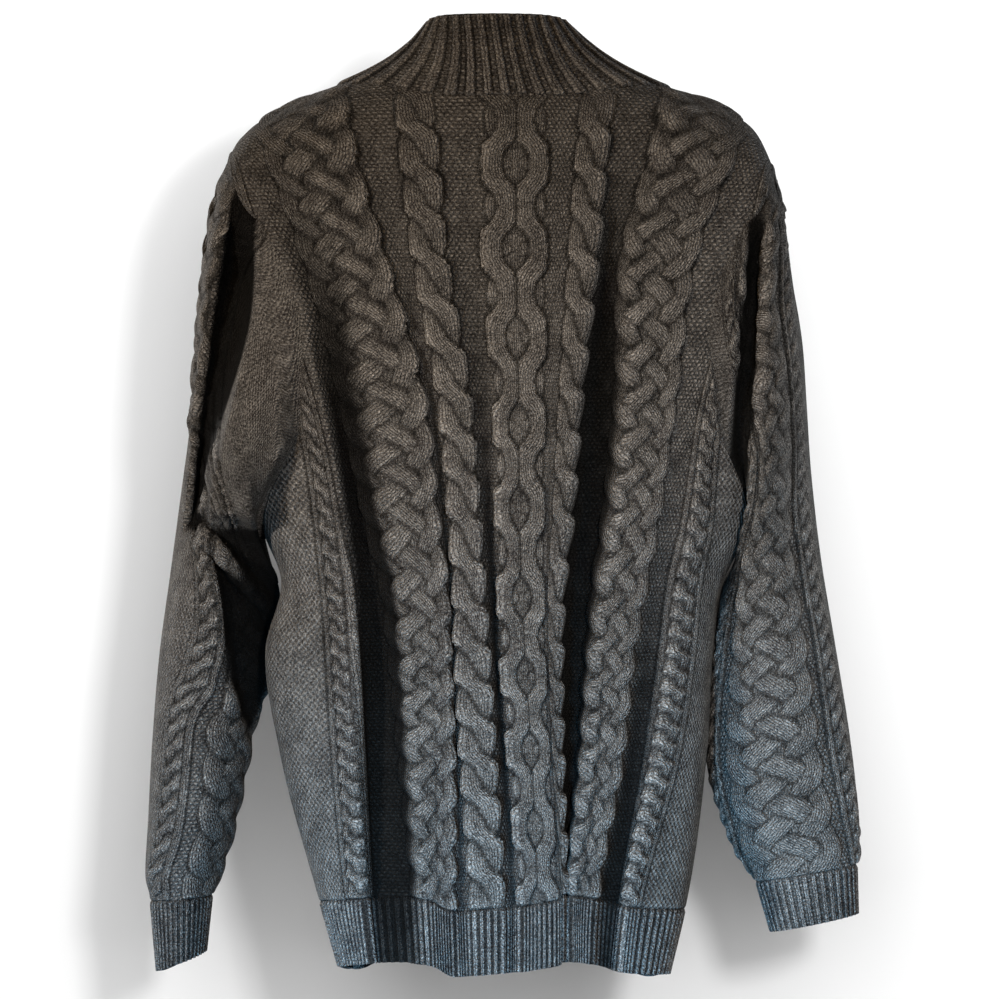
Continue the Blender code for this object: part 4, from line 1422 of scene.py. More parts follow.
@dataclass(frozen=True)
class MetalFinish:
    """Dark nickel with fine handling marks."""

    name: str
    colour: Colour = (0.17, 0.165, 0.158)
    rough: float = 0.36
    marks_scale: float = 700.0
    marks: float = 0.2

    def material(self) -> bpy.types.Material:
        """Make the material.

        Returns:
            The material.
        """
        made, v, shader = blank_material(self.name)
        worn = v.noise(v.node("ShaderNodeTexCoord").outputs["Object"], self.marks_scale, 3.0)
        rough = v.maths("MULTIPLY_ADD", worn, self.marks, self.rough)
        v.link(rough, shader.inputs["Roughness"])
        shader.inputs["Base Color"].default_value = (*self.colour, 1.0)
        shader.inputs["Metallic"].default_value = 1.0
        return made


def select_only(piece: bpy.types.Object) -> None:
    """Select one object and make it active.

    Args:
        piece: The object.
    """
    bpy.ops.object.select_all(action="DESELECT")
    piece.select_set(True)
    bpy.context.view_layer.objects.active = piece


def add_piece(mesh: bpy.types.Mesh) -> bpy.types.Object:
    """Put a mesh in the scene.

    Args:
        mesh: The mesh.

    Returns:
        Its object, of the same name.
    """
    piece = bpy.data.objects.new(mesh.name, mesh)
    bpy.context.scene.collection.objects.link(piece)
    return piece


@dataclass
class Shell:
    """A closed thin shell on a grid: a fine knitted face, a plainer inner face and its rims."""

    name: str
    points: Array
    closed: bool
    outwards: Array
    wall: float = 3 * MM
    step: int = 4
    # the inner face is reverse side, painted half in shade
    inside_weave_and_shade: Tuple[float, ...] = (0.0, 1.0, 0.0, 0.5)
    smooth_angle: float = 80.0

    def __post_init__(self) -> None:
        """Work out the normals, turned to the outside."""
        down = np.gradient(self.points, axis=0)
        if self.closed:
            across = np.roll(self.points, -1, axis=1) - np.roll(self.points, 1, axis=1)
        else:
            across = np.gradient(self.points, axis=1)
        normal = np.cross(across, down)
        normal /= np.maximum(np.linalg.norm(normal, axis=-1, keepdims=True), 1e-12)
        self.turned = float(np.sum(normal * self.outwards)) < 0
        self.normals = -normal if self.turned else normal

    def indices(self) -> Tuple[Array, Array]:
        """Number the vertices.

        Returns:
            The numbers of the fine outer grid and of the coarser inner one.
        """
        rows, columns = self.points.shape[:2]
        outer = np.arange(rows * columns).reshape(rows, columns)
        inner_rows = range(0, rows, self.step)
        inner_columns = range(0, columns, self.step)
        inner = rows * columns + np.arange(len(inner_rows) * len(inner_columns))
        inner = inner.reshape(len(inner_rows), len(inner_columns))
        if self.closed:
            outer = np.concatenate([outer, outer[:, :1]], axis=1)
            inner = np.concatenate([inner, inner[:, :1]], axis=1)
        return outer, inner

    def faces(self) -> List[List[int]]:
        """Work out the shell's faces.

        Returns:
            The vertex numbers of each face, all turned outwards.
        """
        outer, inner = self.indices()
        made = self.quads(outer).tolist() + self.quads(inner)[:, ::-1].tolist()
        edges = [(outer[0], inner[0], True), (outer[-1], inner[-1], False)]
        if not self.closed:
            edges += [(outer[:, 0], inner[:, 0], False), (outer[:, -1], inner[:, -1], True)]
        for fine, coarse, back in edges:
            made += self.rim(fine, coarse, back)
        return [face[::-1] for face in made] if self.turned else made

    @staticmethod
    def quads(grid: Array) -> Array:
        """A grid's faces, from across to down."""
        corners = [grid[:-1, :-1], grid[:-1, 1:], grid[1:, 1:], grid[1:, :-1]]
        return np.stack(corners, axis=-1).reshape(-1, 4)

    def rim(self, fine: Array, coarse: Array, back: bool) -> List[List[int]]:
        """Faces that join an edge of the fine grid to the coarse one's.

        Args:
            fine: Vertex numbers along the fine edge.
            coarse: Vertex numbers along the coarse edge.
            back: Whether the faces run the other way round.

        Returns:
            The vertex numbers of each face.
        """
        made = []
        for k in range(len(coarse) - 1):
            run = fine[k * self.step:(k + 1) * self.step + 1].tolist()
            face = run + [int(coarse[k + 1]), int(coarse[k])]
            made.append(face[::-1] if back else face)
        return made

    def build(self, relief: Relief, material: bpy.types.Material) -> bpy.types.Object:
        """Make the piece.

        Args:
            relief: The knitting on the outer face.
            material: Its finish.

        Returns:
            The finished object, in its place.
        """
        step = self.step
        outer = self.points + self.normals * (self.wall / 2 + relief.height)[..., None]
        inner = (self.points - self.normals * self.wall / 2)[::step, ::step].reshape(-1, 3)
        vertices = np.concatenate([outer.reshape(-1, 3), inner])
        mesh = bpy.data.meshes.new(self.name + "_cloth")
        mesh.from_pydata(vertices.tolist(), [], self.faces())
        knit = np.stack([relief.across, relief.along], axis=-1).reshape(-1, 2)
        lining = np.stack([relief.ground_across, relief.ground_along], axis=-1)
        knit = np.concatenate([knit, lining[::step, ::step].reshape(-1, 2)])
        # painted shade for the wool's colour, dark in folds and between strands, kept in the weave
        # colours' alpha
        painted_light = relief.open(self.closed)
        weave = np.stack([relief.plain, relief.purl, relief.moss, painted_light], axis=-1)
        inside = np.tile(self.inside_weave_and_shade, (len(inner), 1))
        weave = np.concatenate([weave.reshape(-1, 4), inside])
        corners = np.zeros(len(mesh.loops), int)
        mesh.loops.foreach_get("vertex_index", corners)
        layer = mesh.uv_layers.new(name="knit")
        layer.data.foreach_set("uv", knit[corners].astype(np.float32).ravel())
        colours = mesh.color_attributes.new("weave", "FLOAT_COLOR", "POINT")
        colours.data.foreach_set("color", weave.astype(np.float32).ravel())
        mesh.materials.append(material)
        piece = add_piece(mesh)
        select_only(piece)
        bpy.ops.object.shade_smooth_by_angle(angle=math.radians(self.smooth_angle))
        return piece


@dataclass(frozen=True)
class Cut:
    """The flat size that a piece of cloth was cut or knitted to, in metres."""

    width: float
    length: float
    area: float


def dress(piece: bpy.types.Object, node: str) -> None:
    """Args:
        piece: The finished piece.
        node: The node it stands for.
    """
    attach(piece, "pull_tab" if node == "zip_pull_tab" else "garment")
    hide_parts(node)
    log.info("%s: %d faces", piece.name, len(piece.data.polygons))


def edge_lines(shell: Shell, hand: Hand, inwards: int) -> Lines:
    """A piece's front edge at the zip, and a line a little way in.

    Args:
        shell: The piece.
        hand: The side of the zip it is on.
        inwards: How many columns the second line is from the first.

    Returns:
        The points and normals of each line.
    """
    columns = (0, inwards) if hand is Hand.LEFT else (-1, -1 - inwards)
    return [(shell.points[:, k], shell.normals[:, k]) for k in columns]


@dataclass
class Body:
    """The back, the two fronts and their hem ribs."""

    form: BodyForm
    knitting: Knitting
    wool: bpy.types.Material
    rib_wool: bpy.types.Material
    back_columns: int = 288
    front_columns: int = 144
    above: int = 172
    below: int = 128
    rib_rows: int = 21
    rib_step: float = 1.2 * MM
    ribbing: Ribbing = Ribbing(6.0, 1.9, 0.62)
    # how far from the side seams, the lower edge and the shoulders the knitting has risen
    side_reach: float = 5 * MM
    hem_reach: float = 2 * MM
    shoulder_reach: float = 45 * MM
    # share of the folds' depth painted as shade on the hem ribs
    rib_fold_share: float = 0.7
    # drop at which each link of the chain stands open, in millimetres
    link_drops: Tuple[float, ...] = (-14, 54, 122, 192, 261, 326, 397, 459, 517, 578, 640, 700)
    link_length: float = 68 * MM
    front_pace: float = 1.03
    # columns from the zip's edge to where the tape ends behind the cloth
    panel_tape: int = 5
    rib_tape: int = 9
    cuts: Dict[str, Cut] = field(default_factory=lambda: {
        "back": Cut(0.60, 0.68, 0.36),
        "front": Cut(0.30, 0.68, 0.175),
        "hem_rib_back": Cut(0.60, 0.052, 0.0312),
        "hem_rib_front": Cut(0.30, 0.052, 0.0152),
    })
    edges: Dict[Hand, List[Lines]] = field(default_factory=dict)

    def down(self, side: Side, drop: Array) -> Array:
        """Distance down the knitting.

        Args:
            side: The back or a front.
            drop: The drop.

        Returns:
            The distance.
        """
        if side is Side.FRONT:
            return drop * self.front_pace
        knots = np.array(self.link_drops) * MM
        marks = (np.arange(len(knots)) - 0.5) * self.link_length
        inside = through(knots, marks, np.maximum(drop, knots[0]))
        return inside + np.minimum(drop - knots[0], 0)

    def outwards(self, side: Side, points: Array) -> Array:
        """A direction that points roughly out of the cloth, for each point."""
        return np.broadcast_to(np.array([0.0, float(side.value), 0.0]), points.shape)

    def panel(self, side: Side, name: str, first: float, last: float, columns: int) -> Shell:
        """Make one panel.

        Args:
            side: The back or a front.
            name: Its name.
            first: Its first knit column.
            last: Its last knit column.
            columns: How many grid columns it has.

        Returns:
            Its shell.
        """
        form = self.form
        cloth = np.linspace(first, last, columns + 1)
        points, column, drop = form.panel(side, cloth, self.above, self.below)
        relief = self.knitting.body(column, self.down(side, drop))
        relief.settle(form.edge_cloth(drop) - np.abs(column), self.side_reach)
        relief.settle(drop[-1] - drop, self.hem_reach)
        relief.settle(drop - drop[0], self.shoulder_reach)
        # the folds' depth sets their painted shade
        relief.sunk = form.folds(side, column, drop)
        shell = Shell(name, points, False, self.outwards(side, points))
        dress(shell.build(relief, self.wool), name)
        return shell

    def rib(self, side: Side, name: str, first: float, last: float) -> Shell:
        """Make the hem rib under a panel.

        Args:
            side: The back or a front.
            name: Its name.
            first: Its first knit column.
            last: Its last knit column.

        Returns:
            Its shell.
        """
        steps = 4 * round((last - first) / self.rib_step / 4)
        cloth = np.linspace(first, last, steps + 1)
        points, column, drop = self.form.rib(side, cloth, self.rib_rows)
        relief = self.knitting.rib(column, drop, self.ribbing)
        relief.settle(drop - drop[0], self.hem_reach)
        # the folds' depth sets the rib's painted shade
        relief.sunk = self.form.folds(side, column, drop) * self.rib_fold_share
        shell = Shell(name, points, False, self.outwards(side, points))
        dress(shell.build(relief, self.rib_wool), name)
        return shell

    def build(self) -> None:
        """Make the body, and note its front edges from the hem up."""
        half, edge = self.form.half_cloth, self.form.zip_edge
        self.panel(Side.BACK, "back", -half, half, self.back_columns)
        self.rib(Side.BACK, "hem_rib_back", -half, half)
        for hand in Hand:
            first, last = sorted((hand.value * edge, hand.value * half))
            rib = self.rib(Side.FRONT, "hem_rib_front_" + hand.word, first, last)
            panel = self.panel(Side.FRONT, "front_" + hand.word, first, last, self.front_columns)
            self.edges[hand] = [edge_lines(rib, hand, self.rib_tape),
                                edge_lines(panel, hand, self.panel_tape)]


@dataclass
class Sleeve:
    """A sleeve and its ribbed cuff."""

    form: SleeveForm
    body: BodyForm
    knitting: Knitting
    wool: bpy.types.Material
    rib_wool: bpy.types.Material
    columns: int = 240
    rows: int = 241
    # how far from the armhole and the cuff the knitting has risen
    armhole_reach: float = 25 * MM
    cuff_reach: float = 2 * MM
    # how dark the folds' painted shade is, and how much of its height the knitting loses deep in
    # them
    fold_dark: float = 1.6
    flattened: float = 0.7
    flat_depth: float = 20 * MM
    cuff_columns: int = 288
    cuff_rows: int = 29
    ribs: int = 36
    ribbing: Ribbing = Ribbing(6.0, 1.8, 0.62)
    rib_reach: float = 3 * MM
    cut: Cut = Cut(0.56, 0.53, 0.20)
    cuff_cut: Cut = Cut(0.215, 0.06, 0.0129)

    def outwards(self, points: Array) -> Array:
        """Directions away from the middle line of the sleeve."""
        return points - points.mean(axis=1, keepdims=True)

    def across(self, points: Array, turns: Array, row: Array) -> Array:
        """Distance round the sleeve from its pattern's middle.

        Args:
            points: The sleeve's grid.
            turns: Angle of each point about the sleeve's middle line.
            row: Row of the table of sections at each point.

        Returns:
            The distance, growing towards the garment's right at the back.
        """
        around = lengths(np.concatenate([points, points[:, :1]], axis=1), axis=1)
        girth = around[:, -1:]
        angles = np.concatenate([turns, turns[:, :1] + 2 * math.pi], axis=1)
        marks = np.array(self.form.pattern_turn, float)
        centre = np.radians(through(marks[:, 0], marks[:, 1], row[:, 0]))
        middle = np.array([np.interp(*each) for each in zip(centre, angles, around)])
        across = np.mod(around[:, :-1] - middle[:, None] + girth / 2, girth) - girth / 2
        return across * self.form.hand.value

    def cloth(self) -> None:
        """Make the sleeve."""
        name = "sleeve_" + self.form.hand.word
        points, turns, row = self.form.grid(self.body, self.columns, self.rows)
        from_seam = lengths(points, axis=0)
        down = from_seam - from_seam[-1]
        relief = self.knitting.sleeve(self.across(points, turns, row), down)
        relief.settle(from_seam, self.armhole_reach)
        relief.settle(-down, self.cuff_reach)
        # the folds' depth sets their painted shade, and flattens the knitting in them
        relief.sunk = np.maximum(-self.form.folds(points, turns), 0) * self.fold_dark
        lost = self.flattened * ease(relief.sunk / self.flat_depth)
        relief.height = relief.height * (1 - lost)
        shell = Shell(name, points, True, self.outwards(points))
        dress(shell.build(relief, self.wool), name)

    def cuff(self) -> None:
        """Make the cuff."""
        name = "cuff_" + self.form.hand.word
        points, turns, _ = self.form.cuff(self.cuff_columns, self.cuff_rows)
        across = turns / (2 * math.pi) * self.ribs * self.ribbing.pitch * MM
        down = lengths(points, axis=0)
        relief = self.knitting.rib(across, down, self.ribbing)
        relief.settle(down, self.rib_reach)
        shell = Shell(name, points, True, self.outwards(points))
        dress(shell.build(relief, self.rib_wool), name)

    def build(self) -> None:
        """Make the sleeve and its cuff."""
        self.cloth()
        self.cuff()


@dataclass
class Collar:
    """The ribbed stand collar."""

    form: CollarForm
    body: BodyForm
    knitting: Knitting
    wool: bpy.types.Material
    columns: int = 416
    rows: int = 37
    ribs: int = 37
    ribbing: Ribbing = Ribbing(9.0, 2.6, 0.6)
    # how far from its top and its seam the knitting has risen
    top_reach: float = 4 * MM
    seam_reach: float = 2.5 * MM
    # columns from the zip's edge to where the tape ends behind the cloth
    tape: int = 9
    cut: Cut = Cut(0.40, 0.13, 0.036)

    def build(self, edges: Dict[Hand, List[Lines]]) -> None:
        """Make the collar.

        Args:
            edges: The front edges at the zip so far; the collar's are added.
        """
        points = self.form.grid(self.body, self.columns, self.rows)
        outwards = points * np.array([1.0, 1.0, 0.0])
        share = lengths(points[:1], axis=1)[0]
        across = share / share[-1] * self.ribs * self.ribbing.pitch * MM
        down = lengths(points, axis=0)
        relief = self.knitting.rib(np.broadcast_to(across, down.shape), down, self.ribbing)
        relief.settle(down[-1] - down, self.top_reach)
        relief.settle(down, self.seam_reach)
        shell = Shell("collar", points, False, outwards)
        dress(shell.build(relief, self.wool), "collar")
        for hand in Hand:
            edges[hand].append(edge_lines(shell, hand, self.tape))


@dataclass
class Zip:
    """The zip: two tapes, two rows of teeth and the hard pieces."""

    tape: bpy.types.Material
    metal: bpy.types.Material
    # the teeth's metal is a darker copy of the zip's, painted shade
    teeth_metal: bpy.types.Material
    edges: Dict[Hand, List[Lines]]
    # points down the whole zip, and how near two of a line's points count as one
    rows: int = 321
    same_place: float = 0.01 * MM
    # the tape's edge beside the teeth, and how it lies behind the cloth
    tape_inner: float = 3 * MM
    tape_wall: float = 1 * MM
    tape_behind: float = 2.5 * MM
    tape_columns: int = 4
    cut: Cut = Cut(0.013, 0.74, 0.0096)
    tooth_pitch: float = 2.3 * MM
    tooth_size: Tuple[float, float, float] = (2.9 * MM, 0.95 * MM, 2.0 * MM)
    tooth_reach: float = 2.6 * MM
    # bevel of a tooth's edges, in millimetres
    tooth_bevel: float = 0.22
    # the hard pieces' faces are joined where they are flat, and their edges eased
    merge_distance: float = 0.01 * MM
    flat_angle: float = 1.0
    eased_width: float = 0.22 * MM
    eased_angle: float = 35.0
    smooth_angle: float = 40.0

    def line(self, hand: Hand, which: int) -> Tuple[Array, Array]:
        """A line down a front, from the hem to the collar's top.

        Args:
            hand: The side of the zip.
            which: 0 for the edge, 1 for the line a little way in.

        Returns:
            Its points, evenly spaced, and its normals.
        """
        points = np.concatenate([lines[which][0][::-1] for lines in self.edges[hand]])
        normals = np.concatenate([lines[which][1][::-1] for lines in self.edges[hand]])
        steps = np.linalg.norm(np.diff(points, axis=0), axis=1)
        keep = np.concatenate([[True], steps > self.same_place])
        both = np.concatenate([points, normals], axis=1)[keep]
        run = lengths(both[:, None, :3], axis=0)[:, 0]
        at = np.linspace(0, run[-1], self.rows)
        both = np.stack([np.interp(at, run, values) for values in both.T], axis=-1)
        normals = both[:, 3:] / np.linalg.norm(both[:, 3:], axis=-1, keepdims=True)
        return both[:, :3], normals

    def tooth(self) -> Tuple[Array, List[List[int]]]:
        """Model one tooth about its own middle: a bar with its edges bevelled.

        Returns:
            Its points and the point numbers of its faces.
        """
        bpy.ops.object.select_all(action="DESELECT")
        bpy.ops.mesh.primitive_cube_add(size=1.0)
        piece = bpy.context.active_object
        piece.scale = [size / MM for size in self.tooth_size]
        bpy.ops.object.transform_apply(location=False, rotation=False, scale=True)
        bpy.ops.object.mode_set(mode="EDIT")
        bpy.ops.mesh.select_all(action="SELECT")
        bpy.ops.mesh.bevel(offset=self.tooth_bevel, segments=1, affect="EDGES")
        bpy.ops.object.mode_set(mode="OBJECT")
        points = np.array([vert.co[:] for vert in piece.data.vertices]) * MM
        faces = [list(face.vertices) for face in piece.data.polygons]
        bpy.data.objects.remove(piece)
        return points, faces

    def half_tape(self, hand: Hand, middle: Array) -> None:
        """Make the tape on one side.

        Args:
            hand: The side.
            middle: The zip's middle line.
        """
        edge, normals = self.line(hand, 0)
        inner, inner_normals = self.line(hand, 1)
        edge = edge - normals * self.tape_behind
        inner = inner - inner_normals * self.tape_behind
        beside = middle + np.array([hand.value * self.tape_inner, 0.0, 0.0])
        share = np.linspace(0, 1, self.tape_columns + 1)[:-1, None, None]
        strip = np.concatenate([beside[None], edge + (inner - edge) * share])
        strip = np.swapaxes(strip, 0, 1)
        name = "zip_tape_" + hand.word
        outwards = np.broadcast_to(normals[:, None], strip.shape)
        shell = Shell(name, strip, False, outwards, wall=self.tape_wall)
        flat = np.zeros(strip.shape[:2])
        dress(shell.build(Relief.ground(flat, flat, 1.0, 1.0), self.tape), name)

    def teeth(self, hand: Hand, middle: Array) -> None:
        """Make one row of teeth.

        Args:
            hand: The side of the zip that holds it.
            middle: The zip's middle line.
        """
        name = "zip_teeth_" + hand.word
        low, high = (corner.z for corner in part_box(name)[:2])
        run = lengths(middle[:, None], axis=0)[:, 0]
        inside = run[(middle[:, 2] > low) & (middle[:, 2] < high)]
        # the two rows stand half a pitch apart
        first = inside[0] + (0.5 if hand is Hand.LEFT else 1.0) * self.tooth_pitch
        at = np.arange(first, inside[-1], self.tooth_pitch)
        place = np.stack([np.interp(at, run, middle[:, k]) for k in range(3)], axis=-1)
        along = np.gradient(place, axis=0)
        along /= np.linalg.norm(along, axis=-1, keepdims=True)
        across = np.array([1.0, 0.0, 0.0]) - along * along[:, :1]
        across /= np.linalg.norm(across, axis=-1, keepdims=True)
        out = np.cross(across, along)
        shape, faces = self.tooth()
        centre = hand.value * (self.tooth_reach - self.tooth_size[0] / 2)
        points = (place[:, None] + across[:, None] * (shape[:, 0, None] + centre)
                  + along[:, None] * shape[:, 1, None] + out[:, None] * shape[:, 2, None])
        starts = range(0, len(place) * len(shape), len(shape))
        every = [[start + number for number in face] for start in starts for face in faces]
        mesh = bpy.data.meshes.new(name + "_metal")
        mesh.from_pydata(points.reshape(-1, 3).tolist(), [], every)
        mesh.materials.append(self.teeth_metal)
        dress(add_piece(mesh), name)

    def hard_piece(self, node: str) -> None:
        """Make a metal piece on its solid's form, with its edges eased.

        Args:
            node: The solid's node.
        """
        mesh = frame["nodes"][node].data.copy()
        mesh.name = node + "_metal"
        piece = add_piece(mesh)
        select_only(piece)
        bpy.ops.object.mode_set(mode="EDIT")
        bpy.ops.mesh.select_all(action="SELECT")
        bpy.ops.mesh.remove_doubles(threshold=self.merge_distance)
        bpy.ops.mesh.dissolve_limited(angle_limit=math.radians(self.flat_angle))
        bpy.ops.object.mode_set(mode="OBJECT")
        bevel = piece.modifiers.new("eased", "BEVEL")
        bevel.width = self.eased_width
        bevel.segments = 2
        bevel.limit_method = "ANGLE"
        bevel.angle_limit = math.radians(self.eased_angle)
        bpy.ops.object.modifier_apply(modifier=bevel.name)
        piece.data.materials.clear()
        piece.data.materials.append(self.metal)
        bpy.ops.object.shade_smooth_by_angle(angle=math.radians(self.smooth_angle))
        dress(piece, node)

    def build(self) -> None:
        """Make the zip."""
        edges = [self.line(hand, 0) for hand in Hand]
        middle = sum(points - normals * self.tape_behind for points, normals in edges) / 2
        for hand in Hand:
            self.half_tape(hand, middle)
            self.teeth(hand, middle)
        for node in ("zip_bottom_box", "zip_slider", "zip_stop_left", "zip_stop_right",
                     "zip_pull_tab"):
            self.hard_piece(node)


@dataclass(frozen=True)
class Lamp:
    """A soft light: square, or a round spot where it has a cone."""

    name: str
    place: Place
    aim: Place
    size: float
    power: float
    colour: Colour
    on_garment: bool = True
    cone: float = 0.0

    def build(self, lit: bpy.types.Collection) -> None:
        """Hang the light.

        Args:
            lit: The only objects that it lights.
        """
        if self.cone:
            data = bpy.data.lights.new(self.name, "SPOT")
            data.shadow_soft_size = self.size / 2
            data.spot_size = math.radians(self.cone)
            data.spot_blend = 1.0
        else:
            data = bpy.data.lights.new(self.name, "AREA")
            data.size = self.size
        data.energy = self.power
        data.color = self.colour
        lamp = bpy.data.objects.new(self.name, data)
        lamp.location = self.place
        look = Vector(self.aim) - Vector(self.place)
        lamp.rotation_euler = look.to_track_quat("-Z", "Y").to_euler()
        lamp.light_linking.receiver_collection = lit
        if self.on_garment:
            lamp.light_linking.blocker_collection = lit
        bpy.context.scene.collection.objects.link(lamp)


@dataclass(frozen=True)
class Studio:
    """Pale floor and backdrop, soft lights and the camera behind the garment."""

    # middle and width of the view, across and up, in the plane at this depth
    centre: Tuple[float, float] = (4 * MM, -319.6 * MM)
    width: float = 0.8
    plane: float = 0.03
    lens: float = 250.0
    sensor: float = 36.0
    farthest: float = 50.0
    floor: float = -1.5
    floor_size: float = 12.0
    floor_grey: float = 0.86
    backdrop: float = -0.20
    backdrop_middle: float = 0.4
    backdrop_size: Tuple[float, float] = (5.0, 2.4)
    backdrop_grey: float = 0.93
    # strength of the sky on the garment, and as the camera sees it
    sky: float = 0.185
    seen_sky: float = 0.85
    lamps: Tuple[Lamp, ...] = (
        Lamp("wall_fill", (0.0, 2.4, 0.2), (0.0, 0.0, -0.3), 2.6, 60.0, (1.0, 1.0, 1.0), False),
        Lamp("wall_key", (-1.05, 4.0, 0.35), (0.0, 0.0, -0.3), 0.5, 67.0, (1.0, 1.0, 1.0), False),
        Lamp("floor_wash", (0.0, 0.0, 3.0), (0.0, 0.0, -1.5), 4.0, 190.0, (1.0, 1.0, 1.0), False),
        Lamp("window", (3.2, 3.0, 0.0), (-0.12, 0.0, -0.65), 0.6, 1440.0, (1.0, 0.90, 0.78),
             cone=23.0),
        Lamp("front", (-0.9, 4.2, 0.1), (-0.14, 0.0, -0.44), 0.5, 1330.0, (1.0, 0.92, 0.83),
             cone=15.0),
        Lamp("warm_high", (1.0, 2.0, 0.9), (0.0, 0.0, -0.12), 0.4, 105.0, (1.0, 0.50, 0.03),
             cone=26.0),
        Lamp("cool_low", (0.45, 1.9, -1.25), (-0.1, 0.0, -0.85), 0.4, 800.0, (0.32, 0.68, 1.0),
             cone=32.0),
        Lamp("cool_side", (2.4, 2.2, -1.2), (0.27, 0.0, -0.66), 0.4, 190.0, (0.25, 0.62, 1.0),
             cone=11.0),
        Lamp("side", (-2.6, 2.4, -0.3), (-0.28, 0.0, -0.53), 0.4, 260.0, (0.8, 0.93, 1.0),
             cone=13.0),
        Lamp("fill_left", (2.2, -3.2, 0.5), (0.0, 0.0, -0.40), 0.8, 1100.0, (1.0, 0.97, 0.93),
             cone=24.0),
        Lamp("fill_right", (-3.0, -1.8, -0.2), (0.0, 0.0, -0.40), 0.8, 420.0, (0.86, 0.94, 1.0),
             cone=28.0),
    )

    def paint(self, name: str, grey: float, see_through: bool) -> bpy.types.Material:
        """Plain pale paint.

        Args:
            name: Its name.
            grey: How light it is.
            see_through: Whether it is clear from behind, so that it hides nothing.

        Returns:
            The material.
        """
        made, v, shader = blank_material(name)
        shader.inputs["Base Color"].default_value = (grey, grey, grey, 1.0)
        shader.inputs["Roughness"].default_value = 1.0
        shader.inputs["Specular IOR Level"].default_value = 0.0
        if see_through:
            clear = v.node("ShaderNodeBsdfTransparent")
            mix = v.node("ShaderNodeMixShader")
            v.link(v.node("ShaderNodeNewGeometry").outputs["Backfacing"], mix.inputs[0])
            v.link(shader.outputs[0], mix.inputs[1])
            v.link(clear.outputs[0], mix.inputs[2])
            v.link(mix.outputs[0], made.node_tree.nodes["Material Output"].inputs["Surface"])
        return made

    def surroundings(self) -> Tuple[bpy.types.Object, bpy.types.Object]:
        """Lay the floor and hang the backdrop.

        Returns:
            The two objects.
        """
        bpy.ops.object.select_all(action="DESELECT")
        bpy.ops.mesh.primitive_plane_add(size=self.floor_size, location=(0, 0, self.floor))
        floor = bpy.context.active_object
        floor.name = "studio_floor"
        floor.data.materials.append(self.paint("floor_paint", self.floor_grey, False))
        floor.visible_diffuse = False
        floor.visible_glossy = False
        bpy.ops.mesh.primitive_plane_add(size=1, rotation=(-math.pi / 2, 0, 0),
                                         location=(0, self.backdrop, self.backdrop_middle))
        wall = bpy.context.active_object
        wall.name = "studio_backdrop"
        wall.scale = (*self.backdrop_size, 1.0)
        wall.data.materials.append(self.paint("backdrop_paint", self.backdrop_grey, True))
        return floor, wall

    def light_sky(self) -> None:
        """Light the sky; it looks brighter to the camera than it is to the garment."""
        world = bpy.data.worlds.new("studio_sky")
        world.use_nodes = True
        background = world.node_tree.nodes["Background"]
        background.inputs[0].default_value = (1.0, 1.0, 1.0, 1.0)
        v = Values(world.node_tree)
        seen = v.node("ShaderNodeLightPath").outputs["Is Camera Ray"]
        strength = v.maths("MULTIPLY_ADD", seen, self.seen_sky - self.sky, self.sky)
        v.link(strength, background.inputs[1])
        bpy.context.scene.world = world
        bpy.context.scene.view_settings.view_transform = "Standard"

    def hang_lamps(self, around: Sequence[bpy.types.Object]) -> None:
        """Hang the lamps, each linked to the garment or to what is around it.

        Args:
            around: The floor and the backdrop.
        """
        surroundings = bpy.data.collections.new("surroundings")
        garment = bpy.data.collections.new("garment_lit")
        for piece in bpy.context.scene.objects:
            (surroundings if piece in around else garment).objects.link(piece)
        for lamp in self.lamps:
            lamp.build(garment if lamp.on_garment else surroundings)

    def place_camera(self) -> None:
        """Set up the camera, level and square to the back."""
        data = bpy.data.cameras.new("camera")
        data.lens = self.lens
        data.sensor_width = self.sensor
        data.clip_end = self.farthest
        camera = bpy.data.objects.new("camera", data)
        distance = self.width * self.lens / self.sensor
        camera.location = (self.centre[0], self.plane + distance, self.centre[1])
        camera.rotation_euler = (math.pi / 2, 0, math.pi)
        bpy.context.scene.collection.objects.link(camera)
        bpy.context.scene.camera = camera

    def build(self) -> None:
        """Set up the studio."""
        around = self.surroundings()
        self.light_sky()
        self.hang_lamps(around)
        self.place_camera()


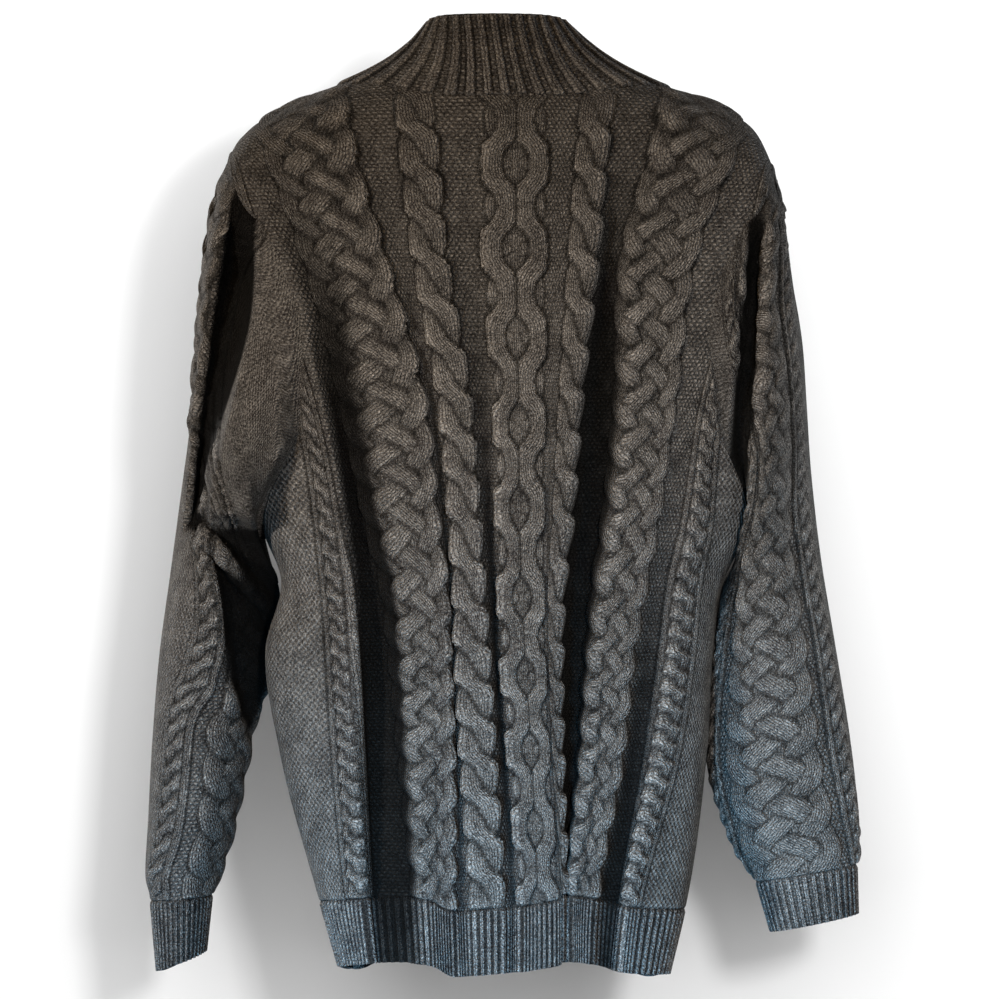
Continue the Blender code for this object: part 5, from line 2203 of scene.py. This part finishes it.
LEFT_SLEEVE = SleeveForm(
    hand=Hand.LEFT,
    sections=(
        (220, 54, 190, 350, -38, 80, -80),
        (233, 98, 201, 350, -30, 80, -84),
        (242, 160, 204, 358, -18, 82, -90),
        (247, 212, 194, 376, -8, 74, -94),
        (252, 264, 184, 399, -2, 54, -98),
        (259, 314, 189, 428, 0, 40, -100),
        (268, 380, 191, 462, 0, 34, -100),
        (277, 446, 204, 494, 0, 30, -100),
        (283, 520, 212, 534, 0, 28, -98),
        (286, 580, 223, 586, 0, 25, -90),
        (288, 622, 233, 620, 0, 21, -80),
        (284, 643, 239, 638, 0, 17, -74),
        (279, 700, 244, 684, 0, 15, -71),
    ),
    crease=(
        (62, 205, 9, 0),
        (84, 207, 12, 18),
        (112, 210, 15, 28),
        (170, 216, 19, 32),
        (232, 227, 17, 32),
        (290, 238, 13, 28),
        (330, 245, 10, 20),
        (350, 250, 9, 0),
    ),
    lobe=((178, 374), (190, 350), (201, 343), (214, 338), (242, 337)),
    flap=(
        (181, 412, 13, 0),
        (191, 403, 13, 8),
        (210, 383, 13, 15),
        (229, 362, 13, 19),
        (240, 350, 12, 14),
        (247, 343, 11, 0),
    ),
    hollow=(
        (335, 262, 0),
        (352, 247, 14),
        (370, 239, 20),
        (427, 230, 22),
        (458, 227, 20),
        (488, 221, 14),
        (525, 214, 0),
    ),
    pattern_turn=((0, -20), (2, 0), (3, 20), (4, 62), (5, 106), (6, 134), (8, 150), (11, 165)),
    dips=((3.55, 152, 0.3, 22, -5), (4.6, 75, 0.8, 22, 4), (6.4, 110, 0.7, 30, 3.5),
          (8.2, 60, 0.9, 25, 3.5), (5.5, 250, 1.0, 30, 4), (8.4, 300, 0.9, 30, 4),
          (9.9, 120, 0.5, 35, 3)),
)
RIGHT_SLEEVE = SleeveForm(
    hand=Hand.RIGHT,
    sections=(
        (217, 64, 190, 350, -38, 80, -80),
        (223, 100, 201, 350, -30, 80, -84),
        (229, 144, 202, 358, -16, 80, -94),
        (237, 194, 188, 376, -6, 74, -100),
        (241, 246, 174, 400, 0, 62, -106),
        (245, 300, 169, 430, 0, 50, -108),
        (253, 368, 166, 464, 0, 42, -106),
        (265, 440, 165, 500, 0, 34, -102),
        (276, 508, 168, 540, 0, 26, -96),
        (282, 560, 180, 578, 0, 19, -86),
        (283, 594, 193, 608, 0, 12, -74),
        (282, 614, 205, 627, 0, 7, -66),
        (283, 654, 217, 668, 0, 5, -62),
    ),
    crease=(
        (70, 200, 10, 0),
        (120, 198, 10, 13),
        (200, 193, 12, 18),
        (270, 188, 12, 14),
        (360, 182, 11, 9),
        (430, 178, 9, 0),
    ),
    pattern_turn=((0, 18), (1.5, 60), (3, 80), (5, 90), (8, 100), (11, 104)),
    dips=((5.2, 60, 0.8, 25, 4), (6.8, 120, 0.8, 28, 4), (8.6, 70, 0.7, 25, 3.5),
          (5.0, 240, 1.0, 30, 4), (7.9, 290, 1.0, 30, 4.5), (10.0, 100, 0.5, 35, 3)),
)


def main() -> None:
    """Build the cardigan and its studio."""
    logging.basicConfig(level=logging.INFO, format="%(message)s")
    wool = WoolFinish("charcoal_wool").material()
    rib_wool = WoolFinish("charcoal_rib", middle=(0.068, 0.066, 0.066)).material()
    form, knitting = BodyForm(), Knitting()
    body = Body(form, knitting, wool, rib_wool)
    body.build()
    for sleeve in (LEFT_SLEEVE, RIGHT_SLEEVE):
        Sleeve(sleeve, form, knitting, wool, rib_wool).build()
    Collar(CollarForm(), form, knitting, rib_wool).build(body.edges)
    tape = TapeFinish("zip_tape").material()
    metal = MetalFinish("zip_metal").material()
    # painted shade: the teeth take a darker copy of the zip's metal, so they look shaded where the
    # lamps reach them
    teeth_metal = MetalFinish("zip_teeth_metal", (0.06, 0.058, 0.055), 0.55).material()
    Zip(tape, metal, teeth_metal, body.edges).build()
    Studio().build()


if __name__ == "__main__":
    main()
